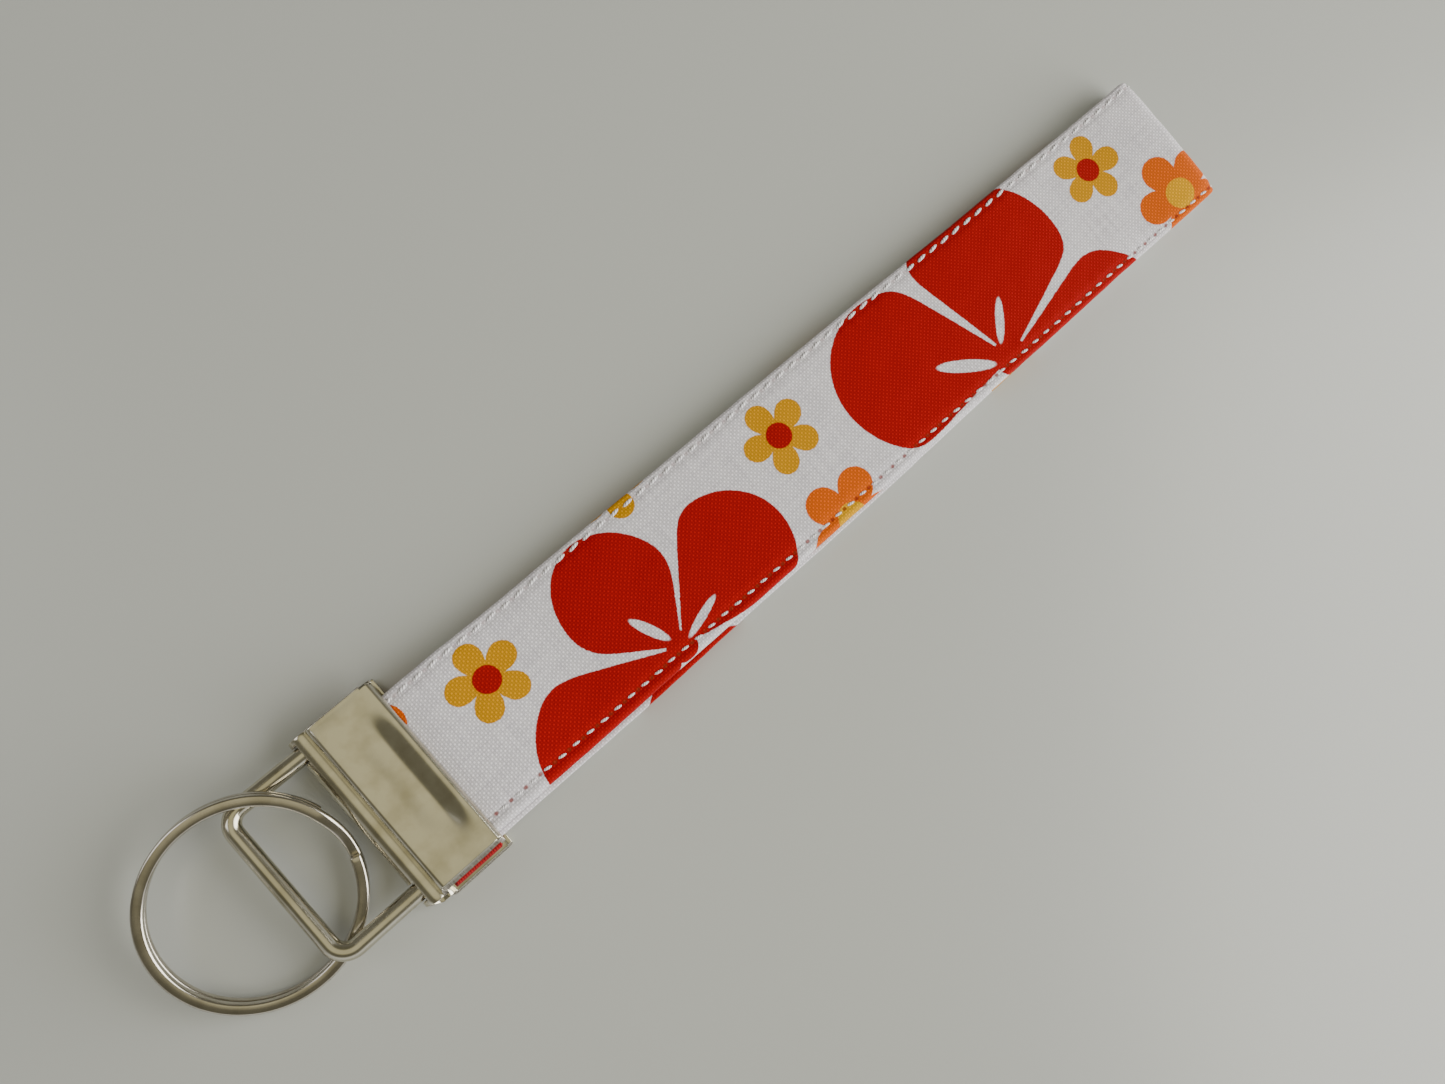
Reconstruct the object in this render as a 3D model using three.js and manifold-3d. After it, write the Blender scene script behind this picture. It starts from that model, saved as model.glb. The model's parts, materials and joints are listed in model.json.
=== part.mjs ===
// Wristlet key fob: a printed fabric strap folded in half, a folded sheet-metal end clamp on its
// two ends, a wire bail hinged in the clamp's barrel, and a split ring through the bail.
// Millimetres. +X runs along the strap from the ring to the fold, +Z up from the surface it lies on.
import * as THREE from "three";
import { mergeVertices } from "three/addons/utils/BufferGeometryUtils.js";
import Module from "manifold-3d";

// End clamp: one sheet folded round a barrel, with its lips at x = 0 and the barrel at -x.
const CLAMP_WIDTH = 31.6;
const CLAMP_HEIGHT = 7.3;
const SHEET = 0.8;
const LIP_BEND = 0.5;
const LIP_CLEAR = 0.1;
const PANEL_BEND = 0.6;
const PANEL_SLOPE = THREE.MathUtils.degToRad(75);
const GROOVE_BEND = 0.45;
const BARREL_RADIUS = 1.85;
const BARREL_X = -12.75;
const NECK = THREE.MathUtils.degToRad(65);

// Slots in the barrel for the bail's legs, open below and towards the ring.
const SLOT_GAP = 0.4;
const SLOT_REACH = 1.6;
const SLOT_TOP = 1.7;
const SLOT_ROOF = 1.15;

// Wire bail: its two ends lie in the barrel, and its bar carries the ring.
const WIRE = 2.5;
const BAIL_WIDTH = 26.6;
const BAIL_LENGTH = 15.2;
const BAIL_CORNER = 2.8;
const ELBOW_CORNER = 1.5;
const STUB_GAP = 2;
const BAIL_LIFT = THREE.MathUtils.degToRad(6.5);

// Split ring: flat wire wound twice, stepping from one turn to the next.
const RING_RADIUS = 15.9;
const RING_BAND = 1.75;
const RING_TURN = 1.35;
const RING_SLIT = 0.1;
const RING_STEP = THREE.MathUtils.degToRad(32);
const RING_STEP_AT = THREE.MathUtils.degToRad(-1);
const RING_TILT = THREE.MathUtils.degToRad(13.5);
const RING_X = -32.05;
const RING_Y = 1.3;

// Strap: two legs, each of cover, core and lining. Heights are measured outwards from a leg's middle.
const STRAP_WIDTH = 27;
const STRAP_SHIFT = -1;
const FOLD_X = 169;
const LEG = 2.2;
const LEG_GAP = 0.3;
const COVER = 0.6;
const CORE = 0.8;
const EDGE_WALL = 0.5;
const LAYER_GAP = 0.1;
const SEAM_INSET = 1.9;
const THREAD_WIDTH = 0.5;
const THREAD = 0.3;
const PIVOT_X = 1.6;
const SETTLE_LENGTH = 24;
const SETTLE_STEPS = 10;
const FOLD_STEPS = 12;

// Strap end: the last stretch of both legs, pressed together in the clamp.
const END_INNER_X = -8.3;
const END_OUTER_X = -1;
const END_THICKNESS = 4.4;

const MID_Z = CLAMP_HEIGHT / 2;
const STRAP_HALF = LEG + LEG_GAP / 2;
const LEG_MIDDLE = STRAP_HALF - LEG / 2;

const wasm = await Module();
wasm.setup();

/** A closed geometry as a manifold-3d solid. */
function toSolid(geometry) {
  const bare = new THREE.BufferGeometry()
    .setIndex(geometry.index)
    .setAttribute("position", geometry.getAttribute("position"));
  const merged = mergeVertices(bare, 1e-4);
  return new wasm.Manifold(
    new wasm.Mesh({
      numProp: 3,
      vertProperties: merged.attributes.position.array,
      triVerts: new Uint32Array(merged.index.array),
    }),
  );
}

/** A manifold-3d solid as a flat-shaded geometry. */
function toGeometry(solid) {
  const mesh = solid.getMesh();
  const geometry = new THREE.BufferGeometry()
    .setAttribute("position", new THREE.BufferAttribute(mesh.vertProperties, 3))
    .setIndex(new THREE.BufferAttribute(mesh.triVerts, 1))
    .toNonIndexed();
  geometry.computeVertexNormals();
  return geometry;
}

/** Unit normals on the left of a polyline, lengthened so that offset stretches keep their distance. */
function mitres(points) {
  return points.map((point, i) => {
    const before = points[Math.max(i - 1, 0)];
    const after = points[Math.min(i + 1, points.length - 1)];
    const into = point.clone().sub(before);
    const out = after.clone().sub(point);
    const first = (into.lengthSq() > 0 ? into : out).clone().normalize();
    const second = (out.lengthSq() > 0 ? out : into).clone().normalize();
    const heading = first.clone().add(second).normalize();
    return new THREE.Vector2(-heading.y, heading.x).divideScalar(heading.dot(first));
  });
}

/** The points of a path without the repeats where its stretches join. */
function pathPoints(path, divisions) {
  return path.getPoints(divisions).filter((p, i, all) => i === 0 || p.distanceTo(all[i - 1]) > 1e-3);
}

/** Centre line of the upper jaw, from its lip over the panel and down into the groove. */
function jawPoints() {
  const top = (CLAMP_HEIGHT - SHEET) / 2;
  const lipX = -SHEET / 2;
  const grooveX = BARREL_X + (BARREL_RADIUS + GROOVE_BEND) * Math.cos(NECK);
  const grooveY = (BARREL_RADIUS + GROOVE_BEND) * Math.sin(NECK);
  const slopeFoot = grooveY - GROOVE_BEND * Math.cos(PANEL_SLOPE);
  const slopeHead = top - PANEL_BEND * (1 - Math.cos(PANEL_SLOPE));
  const panelX =
    grooveX +
    (GROOVE_BEND + PANEL_BEND) * Math.sin(PANEL_SLOPE) +
    (slopeHead - slopeFoot) / Math.tan(PANEL_SLOPE);
  const line = new THREE.Path();
  line.moveTo(lipX, STRAP_HALF + LIP_CLEAR);
  line.absarc(lipX - LIP_BEND, top - LIP_BEND, LIP_BEND, 0, Math.PI / 2, false);
  line.absarc(panelX, top - PANEL_BEND, PANEL_BEND, Math.PI / 2, Math.PI / 2 + PANEL_SLOPE, false);
  line.absarc(grooveX, grooveY, GROOVE_BEND, PANEL_SLOPE - Math.PI / 2, NECK - Math.PI, true);
  return pathPoints(line, 6);
}

/** Profile of the slot for one bail leg: everything below its top, and in front of the roof over it. */
function slotShape() {
  const left = BARREL_X - 2 * BARREL_RADIUS;
  const right = BARREL_X + SLOT_REACH;
  const roof = BARREL_X - SLOT_ROOF;
  const shape = new THREE.Shape();
  shape.moveTo(left, -CLAMP_HEIGHT / 2);
  shape.lineTo(right, -CLAMP_HEIGHT / 2);
  shape.lineTo(right, 0);
  shape.lineTo(BARREL_X, SLOT_TOP);
  shape.lineTo(roof, SLOT_TOP);
  shape.lineTo(roof, CLAMP_HEIGHT / 2);
  shape.lineTo(left, CLAMP_HEIGHT / 2);
  return shape;
}

/** The folded sheet: both jaws and the barrel between them, with a slot for each bail leg. */
function endClamp() {
  const upper = jawPoints();
  const lower = upper.map((p) => new THREE.Vector2(p.x, -p.y)).reverse();
  const barrel = new THREE.Path();
  barrel.absarc(BARREL_X, 0, BARREL_RADIUS, NECK, 2 * Math.PI - NECK, false);
  const line = [...upper, ...pathPoints(barrel, 20).slice(1, -1), ...lower];
  const offsets = mitres(line).map((n) => n.multiplyScalar(SHEET / 2));
  const left = line.map((p, i) => p.clone().add(offsets[i]));
  const right = line.map((p, i) => p.clone().sub(offsets[i])).reverse();
  const sheet = new THREE.ExtrudeGeometry(new THREE.Shape([...left, ...right]), {
    depth: CLAMP_WIDTH,
    bevelEnabled: false,
  });
  sheet.rotateX(Math.PI / 2).translate(0, CLAMP_WIDTH / 2, 0);
  let solid = toSolid(sheet);
  for (const side of [-1, 1]) {
    const depth = WIRE + 2 * SLOT_GAP;
    const slot = new THREE.ExtrudeGeometry(slotShape(), { depth, bevelEnabled: false });
    slot.rotateX(Math.PI / 2).translate(0, (side * BAIL_WIDTH + depth) / 2, 0);
    solid = solid.subtract(toSolid(slot));
  }
  return toGeometry(solid);
}

/** A path through the corners, each rounded by its own radius. */
function roundedPath(corners, radii) {
  const path = new THREE.CurvePath();
  let from = corners[0];
  for (let i = 1; i < corners.length - 1; i += 1) {
    const back = corners[i - 1].clone().sub(corners[i]).setLength(radii[i - 1]);
    const ahead = corners[i + 1].clone().sub(corners[i]).setLength(radii[i - 1]);
    const enter = corners[i].clone().add(back);
    const leave = corners[i].clone().add(ahead);
    path.add(new THREE.LineCurve3(from, enter));
    path.add(new THREE.QuadraticBezierCurve3(enter, corners[i], leave));
    from = leave;
  }
  path.add(new THREE.LineCurve3(from, corners[corners.length - 1]));
  return path;
}

/** The wire bail round its hinge axis, which is the origin's Y axis. */
function bailLoop() {
  const half = BAIL_WIDTH / 2;
  const stub = STUB_GAP / 2;
  const corners = [
    new THREE.Vector3(0, -stub, 0),
    new THREE.Vector3(0, -half, 0),
    new THREE.Vector3(-BAIL_LENGTH, -half, 0),
    new THREE.Vector3(-BAIL_LENGTH, half, 0),
    new THREE.Vector3(0, half, 0),
    new THREE.Vector3(0, stub, 0),
  ];
  const radii = [ELBOW_CORNER, BAIL_CORNER, BAIL_CORNER, ELBOW_CORNER];
  const section = new THREE.Shape(new THREE.Path().absarc(0, 0, WIRE / 2, 0, 2 * Math.PI).getPoints(6));
  return new THREE.ExtrudeGeometry(section, {
    steps: 80,
    extrudePath: roundedPath(corners, radii),
    bevelEnabled: false,
  });
}

/** The flat wire wound twice round the Z axis, with the step between its turns at RING_STEP_AT. */
function splitRing() {
  const sweep = 4 * Math.PI - RING_STEP;
  const middle = RING_RADIUS - RING_BAND / 2;
  const rise = RING_TURN + RING_SLIT;
  const wire = new THREE.BoxGeometry(sweep, RING_BAND, RING_TURN, 120, 1, 1);
  const position = wire.getAttribute("position");
  for (let i = 0; i < position.count; i += 1) {
    const turned = position.getX(i) + sweep / 2;
    const climbed = THREE.MathUtils.smoothstep(turned, 2 * Math.PI - RING_STEP, 2 * Math.PI);
    const angle = RING_STEP_AT + RING_STEP / 2 + turned;
    const radius = middle - position.getY(i);
    position.setXYZ(
      i,
      radius * Math.cos(angle),
      radius * Math.sin(angle),
      position.getZ(i) + (climbed - 0.5) * rise,
    );
  }
  return wire;
}

/** Middle height of the strap above the surface, falling from the clamp's mouth to where it lies flat. */
function strapHeight(x) {
  const flat = THREE.MathUtils.smoothstep(x, PIVOT_X, PIVOT_X + SETTLE_LENGTH);
  return THREE.MathUtils.lerp(MID_Z, STRAP_HALF, flat);
}

/** Route of a leg's middle in X and Z: out along the upper leg, round the fold and back below. */
function legRoute() {
  const foldX = FOLD_X - STRAP_HALF;
  const upper = [];
  for (let i = 0; i <= SETTLE_STEPS; i += 1) {
    const x = PIVOT_X + (SETTLE_LENGTH * i) / SETTLE_STEPS;
    upper.push(new THREE.Vector2(x, strapHeight(x) + LEG_MIDDLE));
  }
  const fold = new THREE.Path();
  fold.absarc(foldX, STRAP_HALF, LEG_MIDDLE, Math.PI / 2, -Math.PI / 2, true);
  const lower = upper.map((p) => new THREE.Vector2(p.x, p.y - 2 * LEG_MIDDLE)).reverse();
  return [...upper, ...pathPoints(fold, FOLD_STEPS), ...lower];
}

/** A section in Y and height laid along the leg route. */
function layAlongLeg(outline) {
  const route = legRoute();
  const outward = mitres(route);
  const section = new THREE.Shape(outline.map(([y, height]) => new THREE.Vector2(y, height)));
  const steps = route.length - 1;
  const layer = new THREE.ExtrudeGeometry(section, { depth: steps, steps, bevelEnabled: false });
  const position = layer.getAttribute("position");
  for (let i = 0; i < position.count; i += 1) {
    const station = Math.round(position.getZ(i));
    const height = position.getY(i);
    const x = route[station].x + outward[station].x * height;
    const z = route[station].y + outward[station].y * height;
    position.setXYZ(i, x, position.getX(i), z);
  }
  layer.computeVertexNormals();
  return layer;
}

/** Corner points of a band across the strap between two heights, with thread channels from one side. */
function channelled(halfWidth, floor, face) {
  const inward = Math.sign(floor - face);
  const depth = face + inward * (THREAD + LAYER_GAP / 2);
  const seam = STRAP_WIDTH / 2 - SEAM_INSET;
  const reach = THREAD_WIDTH / 2 + LAYER_GAP;
  const channels = [-seam, seam].flatMap((y) => [
    [y - reach, face],
    [y - reach, depth],
    [y + reach, depth],
    [y + reach, face],
  ]);
  return { left: [-halfWidth, face], channels, right: [halfWidth, face] };
}

/** Printed cover: the outer face, turned in over both edges. */
function coverOutline() {
  const half = STRAP_WIDTH / 2;
  const inner = half - EDGE_WALL;
  const floor = LEG / 2 - COVER;
  const { left, channels, right } = channelled(half, floor, LEG / 2);
  return [
    left,
    ...channels,
    right,
    [half, -LEG / 2],
    [inner, -LEG / 2],
    [inner, floor],
    [-inner, floor],
    [-inner, -LEG / 2],
    [-half, -LEG / 2],
  ];
}

/** A plain band between two heights, inside the cover's edges. */
function bandOutline(halfWidth, low, high) {
  return [
    [-halfWidth, high],
    [halfWidth, high],
    [halfWidth, low],
    [-halfWidth, low],
  ];
}

/** Lining: the inner face, with the channels of the under-thread. */
function liningOutline(halfWidth) {
  const ceiling = LEG / 2 - COVER - CORE - 2 * LAYER_GAP;
  const { left, channels, right } = channelled(halfWidth, ceiling, -LEG / 2);
  return [[-halfWidth, ceiling], [halfWidth, ceiling], right, ...channels.reverse(), left];
}

/** One row of thread at the given place across the strap, with its outer side at a height. */
function threadOutline(y, outer) {
  const inner = outer - Math.sign(outer) * THREAD;
  return [
    [y - THREAD_WIDTH / 2, Math.max(inner, outer)],
    [y + THREAD_WIDTH / 2, Math.max(inner, outer)],
    [y + THREAD_WIDTH / 2, Math.min(inner, outer)],
    [y - THREAD_WIDTH / 2, Math.min(inner, outer)],
  ];
}

const finishes = {
  nickel: new THREE.MeshStandardMaterial({ color: 0xc9c6bd, roughness: 0.22, metalness: 1 }),
  steel: new THREE.MeshStandardMaterial({ color: 0xb9b6ae, roughness: 0.18, metalness: 1 }),
  print: new THREE.MeshStandardMaterial({ color: 0xdcd9e2, roughness: 0.85, metalness: 0 }),
  core: new THREE.MeshStandardMaterial({ color: 0xe4e0d6, roughness: 0.95, metalness: 0 }),
  lining: new THREE.MeshStandardMaterial({ color: 0xa81a1e, roughness: 0.85, metalness: 0 }),
  thread: new THREE.MeshStandardMaterial({ color: 0xf1eff0, roughness: 0.6, metalness: 0 }),
};

/** A named mesh in its group. */
function addPiece(group, name, geometry, finish) {
  const mesh = new THREE.Mesh(geometry, finish);
  mesh.name = name;
  group.add(mesh);
  return mesh;
}

/** The clamp with the strap ends that it holds. */
function clampGroup() {
  const group = new THREE.Group();
  group.position.z = MID_Z;
  addPiece(group, "end_clamp", endClamp(), finishes.nickel);
  const length = END_OUTER_X - END_INNER_X;
  const end = new THREE.BoxGeometry(length, STRAP_WIDTH, END_THICKNESS);
  end.translate(END_INNER_X + length / 2, STRAP_SHIFT, 0);
  addPiece(group, "clamped_strap_end", end, finishes.print);
  return group;
}

/** The bail, lifted by the ring that lies under its corner. */
function bailGroup() {
  const group = new THREE.Group();
  group.position.set(BARREL_X, 0, MID_Z);
  group.rotation.y = BAIL_LIFT;
  addPiece(group, "bail", bailLoop(), finishes.nickel);
  return group;
}

/** The split ring, tilted because it passes over one bail leg and under the other. */
function ringGroup() {
  const group = new THREE.Group();
  const halfHeight = RING_TURN + RING_SLIT / 2;
  const centreZ = RING_RADIUS * Math.sin(RING_TILT) + halfHeight * Math.cos(RING_TILT);
  group.position.set(RING_X, RING_Y, centreZ);
  group.rotation.x = RING_TILT;
  addPiece(group, "split_ring", splitRing(), finishes.steel);
  return group;
}

/** The free strap: cover, core, lining and the four rows of thread. */
function strapGroup() {
  const group = new THREE.Group();
  group.position.y = STRAP_SHIFT;
  const innerHalf = STRAP_WIDTH / 2 - EDGE_WALL - LAYER_GAP;
  const coreTop = LEG / 2 - COVER - LAYER_GAP;
  addPiece(group, "print_cover", layAlongLeg(coverOutline()), finishes.print);
  addPiece(group, "strap_core", layAlongLeg(bandOutline(innerHalf, coreTop - CORE, coreTop)), finishes.core);
  addPiece(group, "red_lining", layAlongLeg(liningOutline(innerHalf)), finishes.lining);
  const seam = STRAP_WIDTH / 2 - SEAM_INSET;
  const rows = [
    ["right", -seam],
    ["left", seam],
  ];
  for (const [side, y] of rows) {
    addPiece(group, "needle_thread_" + side, layAlongLeg(threadOutline(y, LEG / 2)), finishes.thread);
    addPiece(group, "bobbin_thread_" + side, layAlongLeg(threadOutline(y, -LEG / 2)), finishes.thread);
  }
  return group;
}

const fob = new THREE.Group();
fob.add(clampGroup(), bailGroup(), ringGroup(), strapGroup());
fob.updateMatrixWorld(true);

// The origin is under the middle of the whole object.
const bounds = new THREE.Box3().setFromObject(fob, true);
const middle = bounds.getCenter(new THREE.Vector3());
fob.position.set(-middle.x, -middle.y, -bounds.min.z);

export default fob;
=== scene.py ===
"""Wristlet key fob: a printed strap folded into a nickel end clamp, with its wire bail and split ring.

Shapes are drawn in millimetres from the clamp's mouth, the strap's middle and the floor, and each
finished mesh is then scaled to metres and set in the frame. +X runs along the strap, +Z up.
"""
import json
import logging
import math
from dataclasses import dataclass, field
from enum import Enum
from typing import Any, Callable

import bmesh
import bpy
from mathutils import Matrix, Vector, noise


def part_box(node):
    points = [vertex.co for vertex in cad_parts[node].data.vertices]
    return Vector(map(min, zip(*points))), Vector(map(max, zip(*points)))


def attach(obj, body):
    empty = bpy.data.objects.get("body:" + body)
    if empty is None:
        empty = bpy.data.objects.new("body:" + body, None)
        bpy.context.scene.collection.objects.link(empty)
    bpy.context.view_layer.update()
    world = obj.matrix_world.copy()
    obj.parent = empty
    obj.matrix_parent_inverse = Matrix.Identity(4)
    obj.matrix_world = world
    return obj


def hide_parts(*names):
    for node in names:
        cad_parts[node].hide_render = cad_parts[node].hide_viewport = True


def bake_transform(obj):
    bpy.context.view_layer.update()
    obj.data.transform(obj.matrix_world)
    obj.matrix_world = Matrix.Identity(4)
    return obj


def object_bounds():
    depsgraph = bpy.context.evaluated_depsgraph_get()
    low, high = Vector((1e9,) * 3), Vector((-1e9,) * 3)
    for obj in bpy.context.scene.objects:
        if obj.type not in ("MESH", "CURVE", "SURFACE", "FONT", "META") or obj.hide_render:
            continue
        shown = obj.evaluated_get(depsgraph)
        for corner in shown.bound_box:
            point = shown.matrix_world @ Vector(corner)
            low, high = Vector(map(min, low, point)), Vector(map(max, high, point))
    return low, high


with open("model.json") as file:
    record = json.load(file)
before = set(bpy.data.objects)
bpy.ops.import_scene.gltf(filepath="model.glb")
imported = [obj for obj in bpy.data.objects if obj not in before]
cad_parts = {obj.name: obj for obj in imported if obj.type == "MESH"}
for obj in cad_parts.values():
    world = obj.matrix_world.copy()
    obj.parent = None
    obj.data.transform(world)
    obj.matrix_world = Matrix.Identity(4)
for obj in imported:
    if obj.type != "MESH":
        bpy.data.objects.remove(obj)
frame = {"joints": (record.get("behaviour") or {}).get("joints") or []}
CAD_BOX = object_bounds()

MM = 0.001
LOG = logging.getLogger("key_fob")
UNBENT = "unbent"
CLOTH_MAP = "cloth"

JOINTS = {joint["name"]: Vector(joint["pos_m"]) for joint in frame["joints"]}
CLAMP_LOW, CLAMP_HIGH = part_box("end_clamp")
STRAP_LOW, STRAP_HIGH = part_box("print_cover")
CLAMP_MOUTH = Vector((CLAMP_HIGH.x, (CLAMP_LOW.y + CLAMP_HIGH.y) / 2, 0))
STRAP_MOUTH = Vector((CLAMP_HIGH.x, (STRAP_LOW.y + STRAP_HIGH.y) / 2, 0))
CLAMP_MIDDLE = (CLAMP_LOW.z + CLAMP_HIGH.z) / 2 / MM


class Side(Enum):
    """The strap's two long edges, by their direction along Y."""

    LEFT = 1
    RIGHT = -1


class Face(Enum):
    """The strap's two faces, by their direction away from a leg's middle."""

    OUTER = 1
    INNER = -1


def linear(code: str) -> tuple[float, float, float, float]:
    """Turns an sRGB hex code into a linear colour.

    Args:
        code: Six hex digits, such as "c9c6bd".

    Returns:
        Linear red, green, blue and an alpha of one.
    """
    channels = [int(code[i:i + 2], 16) / 255 for i in (0, 2, 4)]
    red, green, blue = (c / 12.92 if c <= 0.04045 else ((c + 0.055) / 1.055) ** 2.4 for c in channels)
    return red, green, blue, 1.0


def smoothstep(value: float, low: float, high: float) -> float:
    """Rises smoothly from 0 at low to 1 at high.

    Args:
        value: Where to read the curve.
        low: The value at which it leaves 0.
        high: The value at which it reaches 1.

    Returns:
        A number from 0 to 1.
    """
    share = min(max((value - low) / (high - low), 0.0), 1.0)
    return share * share * (3 - 2 * share)


def add(tree: bpy.types.NodeTree, kind: str, inputs: dict[Any, Any], **settings: Any) -> bpy.types.Node:
    """Adds one node with its settings and links.

    Args:
        tree: The node tree to add to.
        kind: The node's type without its ShaderNode prefix.
        inputs: Each input's value, socket or node, whose first output is used, by name or index.
        **settings: The node's own options.

    Returns:
        The new node.
    """
    made = tree.nodes.new("ShaderNode" + kind)
    for setting, value in settings.items():
        setattr(made, setting, value)
    for name, value in inputs.items():
        if isinstance(value, bpy.types.Node):
            value = value.outputs[0]
        if isinstance(value, bpy.types.NodeSocket):
            tree.links.new(value, made.inputs[name])
        else:
            made.inputs[name].default_value = value
    return made


def new_material(name: str) -> tuple[bpy.types.Material, bpy.types.NodeTree]:
    """Makes an empty node material.

    Args:
        name: The material's name.

    Returns:
        The material and its node tree.
    """
    material = bpy.data.materials.new(name)
    material.use_nodes = True
    material.node_tree.nodes.clear()
    return material, material.node_tree


def finish_piece(
    bm: bmesh.types.BMesh, name: str, origin: Vector, materials: list[bpy.types.Material]
) -> bpy.types.Object:
    """Turns a shape in millimetres into a smooth-shaded object in the frame.

    Args:
        bm: The shape, which is freed.
        name: The piece's name.
        origin: Where the shape's own origin lies in the frame, in metres.
        materials: The piece's material slots.

    Returns:
        The new object, at the world's origin, with its place in its mesh.
    """
    bmesh.ops.scale(bm, vec=Vector((MM, MM, MM)), verts=bm.verts)
    bmesh.ops.translate(bm, vec=origin, verts=bm.verts)
    for face in bm.faces:
        face.smooth = True
    mesh = bpy.data.meshes.new(name)
    bm.to_mesh(mesh)
    bm.free()
    for material in materials:
        mesh.materials.append(material)
    piece = bpy.data.objects.new(name, mesh)
    bpy.context.scene.collection.objects.link(piece)
    LOG.info("%s: %d faces", name, len(mesh.polygons))
    return piece


# Finishes


@dataclass(frozen=True)
class PlatedNickel:
    """Bright nickel plate over formed steel: mirror-like, slightly yellow, with fine handling marks.

    The lines that rolling or drawing leaves follow the stock as it was before it was bent.
    """

    name: str
    colour: str = "d9d4c2"
    tarnish: str = "aba387"
    roughness: float = 0.13
    line_pitch: float = 0.35
    line_depth: float = 0.004

    def material(self) -> bpy.types.Material:
        """Builds the plated metal.

        Returns:
            The material, which reads the piece's unbent coordinates in millimetres.
        """
        material, tree = new_material(self.name)
        stock = add(tree, "Attribute", {}, attribute_name=UNBENT).outputs["Vector"]
        along = add(tree, "VectorMath", {0: stock, 1: (0.03, 1 / self.line_pitch, 1 / self.line_pitch)},
                    operation="MULTIPLY")
        lines = add(tree, "TexNoise", {"Vector": along, "Scale": 1.0, "Detail": 4.0, "Roughness": 0.65})
        stains = add(tree, "TexNoise", {"Vector": stock, "Scale": 0.22, "Detail": 3.0})
        scuffs = add(tree, "VectorMath", {0: stock, 1: (2.6, 0.35, 2.6)}, operation="MULTIPLY")
        marks = add(tree, "TexNoise", {"Vector": scuffs, "Scale": 1.0, "Detail": 6.0, "Roughness": 0.7})
        worn = add(tree, "MapRange", {0: stains, 1: 0.42, 2: 0.72, 3: 0.0, 4: 0.55})
        shade = add(tree, "Mix", {0: worn, 6: linear(self.colour), 7: linear(self.tarnish)},
                    data_type="RGBA")
        dull = add(tree, "Math", {0: lines, 1: 0.10, 2: self.roughness - 0.06}, operation="MULTIPLY_ADD")
        rough = add(tree, "Math", {0: marks, 1: 0.12, 2: dull}, operation="MULTIPLY_ADD")
        relief = add(tree, "Math", {0: marks, 1: 0.35, 2: lines}, operation="MULTIPLY_ADD")
        bump = add(tree, "Bump", {"Height": relief, "Strength": 1.0, "Distance": self.line_depth * MM})
        shader = add(tree, "BsdfPrincipled", {
            "Base Color": shade.outputs[2], "Metallic": 1.0, "Roughness": rough, "Normal": bump})
        add(tree, "OutputMaterial", {"Surface": shader})
        return material


@dataclass(frozen=True)
class ShearedSteel:
    """The cut edge of the plated sheet: torn through its thickness, so bright and finely striated."""

    name: str = "sheared_plated_sheet_edge"
    colour: str = "e6dfd6"
    streak: str = "8d857a"
    streak_pitch: float = 0.3
    streak_depth: float = 0.03

    def material(self) -> bpy.types.Material:
        """Builds the cut edge.

        Returns:
            The material, with streaks across the sheet's thickness.
        """
        material, tree = new_material(self.name)
        stock = add(tree, "Attribute", {}, attribute_name=UNBENT).outputs["Vector"]
        across = add(tree, "VectorMath", {0: stock, 1: (1 / self.streak_pitch, 0.0, 0.0)},
                     operation="MULTIPLY")
        streaks = add(tree, "TexNoise", {"Vector": across, "Scale": 1.0, "Detail": 3.0, "Roughness": 0.7})
        level = add(tree, "MapRange", {0: streaks, 1: 0.35, 2: 0.62})
        shade = add(tree, "Mix", {0: level, 6: linear(self.streak), 7: linear(self.colour)},
                    data_type="RGBA")
        bump = add(tree, "Bump", {"Height": streaks, "Strength": 1.0, "Distance": self.streak_depth * MM})
        shader = add(tree, "BsdfPrincipled", {
            "Base Color": shade.outputs[2], "Metallic": 1.0, "Roughness": 0.34, "Normal": bump})
        add(tree, "OutputMaterial", {"Surface": shader})
        return material


@dataclass(frozen=True)
class Petal:
    """One broad petal: a wedge from the flower's centre, ending in a half oval. Millimetres, degrees."""

    axis: float
    spread: float
    shoulder: float
    length: float
    breadth: float


@dataclass(frozen=True)
class Slit:
    """A narrow oval left unprinted in a petal, by its middle from the flower's centre."""

    x: float
    y: float
    axis: float
    length: float
    width: float


@dataclass(frozen=True)
class Blossom:
    """A large one-colour flower, with its centre in millimetres along and across the strap."""

    x: float
    y: float
    hub: float
    petals: tuple[Petal, ...]
    slits: tuple[Slit, ...]


@dataclass(frozen=True)
class Daisy:
    """A small flower of five round petals and a round disc."""

    x: float
    y: float
    turn: float
    petal_radius: float
    petal_reach: float
    disc: float
    petal_colour: str
    disc_colour: str


YELLOW_DAISY = {"petal_radius": 2.25, "petal_reach": 4.45, "disc": 2.25,
                "petal_colour": "d59600", "disc_colour": "a80602"}
ORANGE_DAISY = {"petal_radius": 3.1, "petal_reach": 5.6, "disc": 2.8,
                "petal_colour": "e06200", "disc_colour": "e6a800"}
BLOSSOMS = (
    Blossom(39, -11, 2.6,
            petals=(Petal(101, 44, 12, 12, 10),
                    Petal(20, 32, 15, 12.5, 11.5),
                    Petal(191, 37, 16, 13.5, 12.5)),
            slits=(Slit(-2.2, 5.4, 114, 3.6, 0.85), Slit(5.6, 1.6, 18, 3.9, 0.7))),
    Blossom(115, -11.3, 3.4,
            petals=(Petal(147, 38, 17, 15.5, 14.5),
                    Petal(60.5, 41, 15, 17, 15.5),
                    Petal(-18, 31, 15, 19, 13.5)),
            slits=(Slit(-7.6, 3.9, 145, 5.4, 1.15), Slit(2.8, 6.2, 50, 4.2, 0.8))),
)
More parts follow.
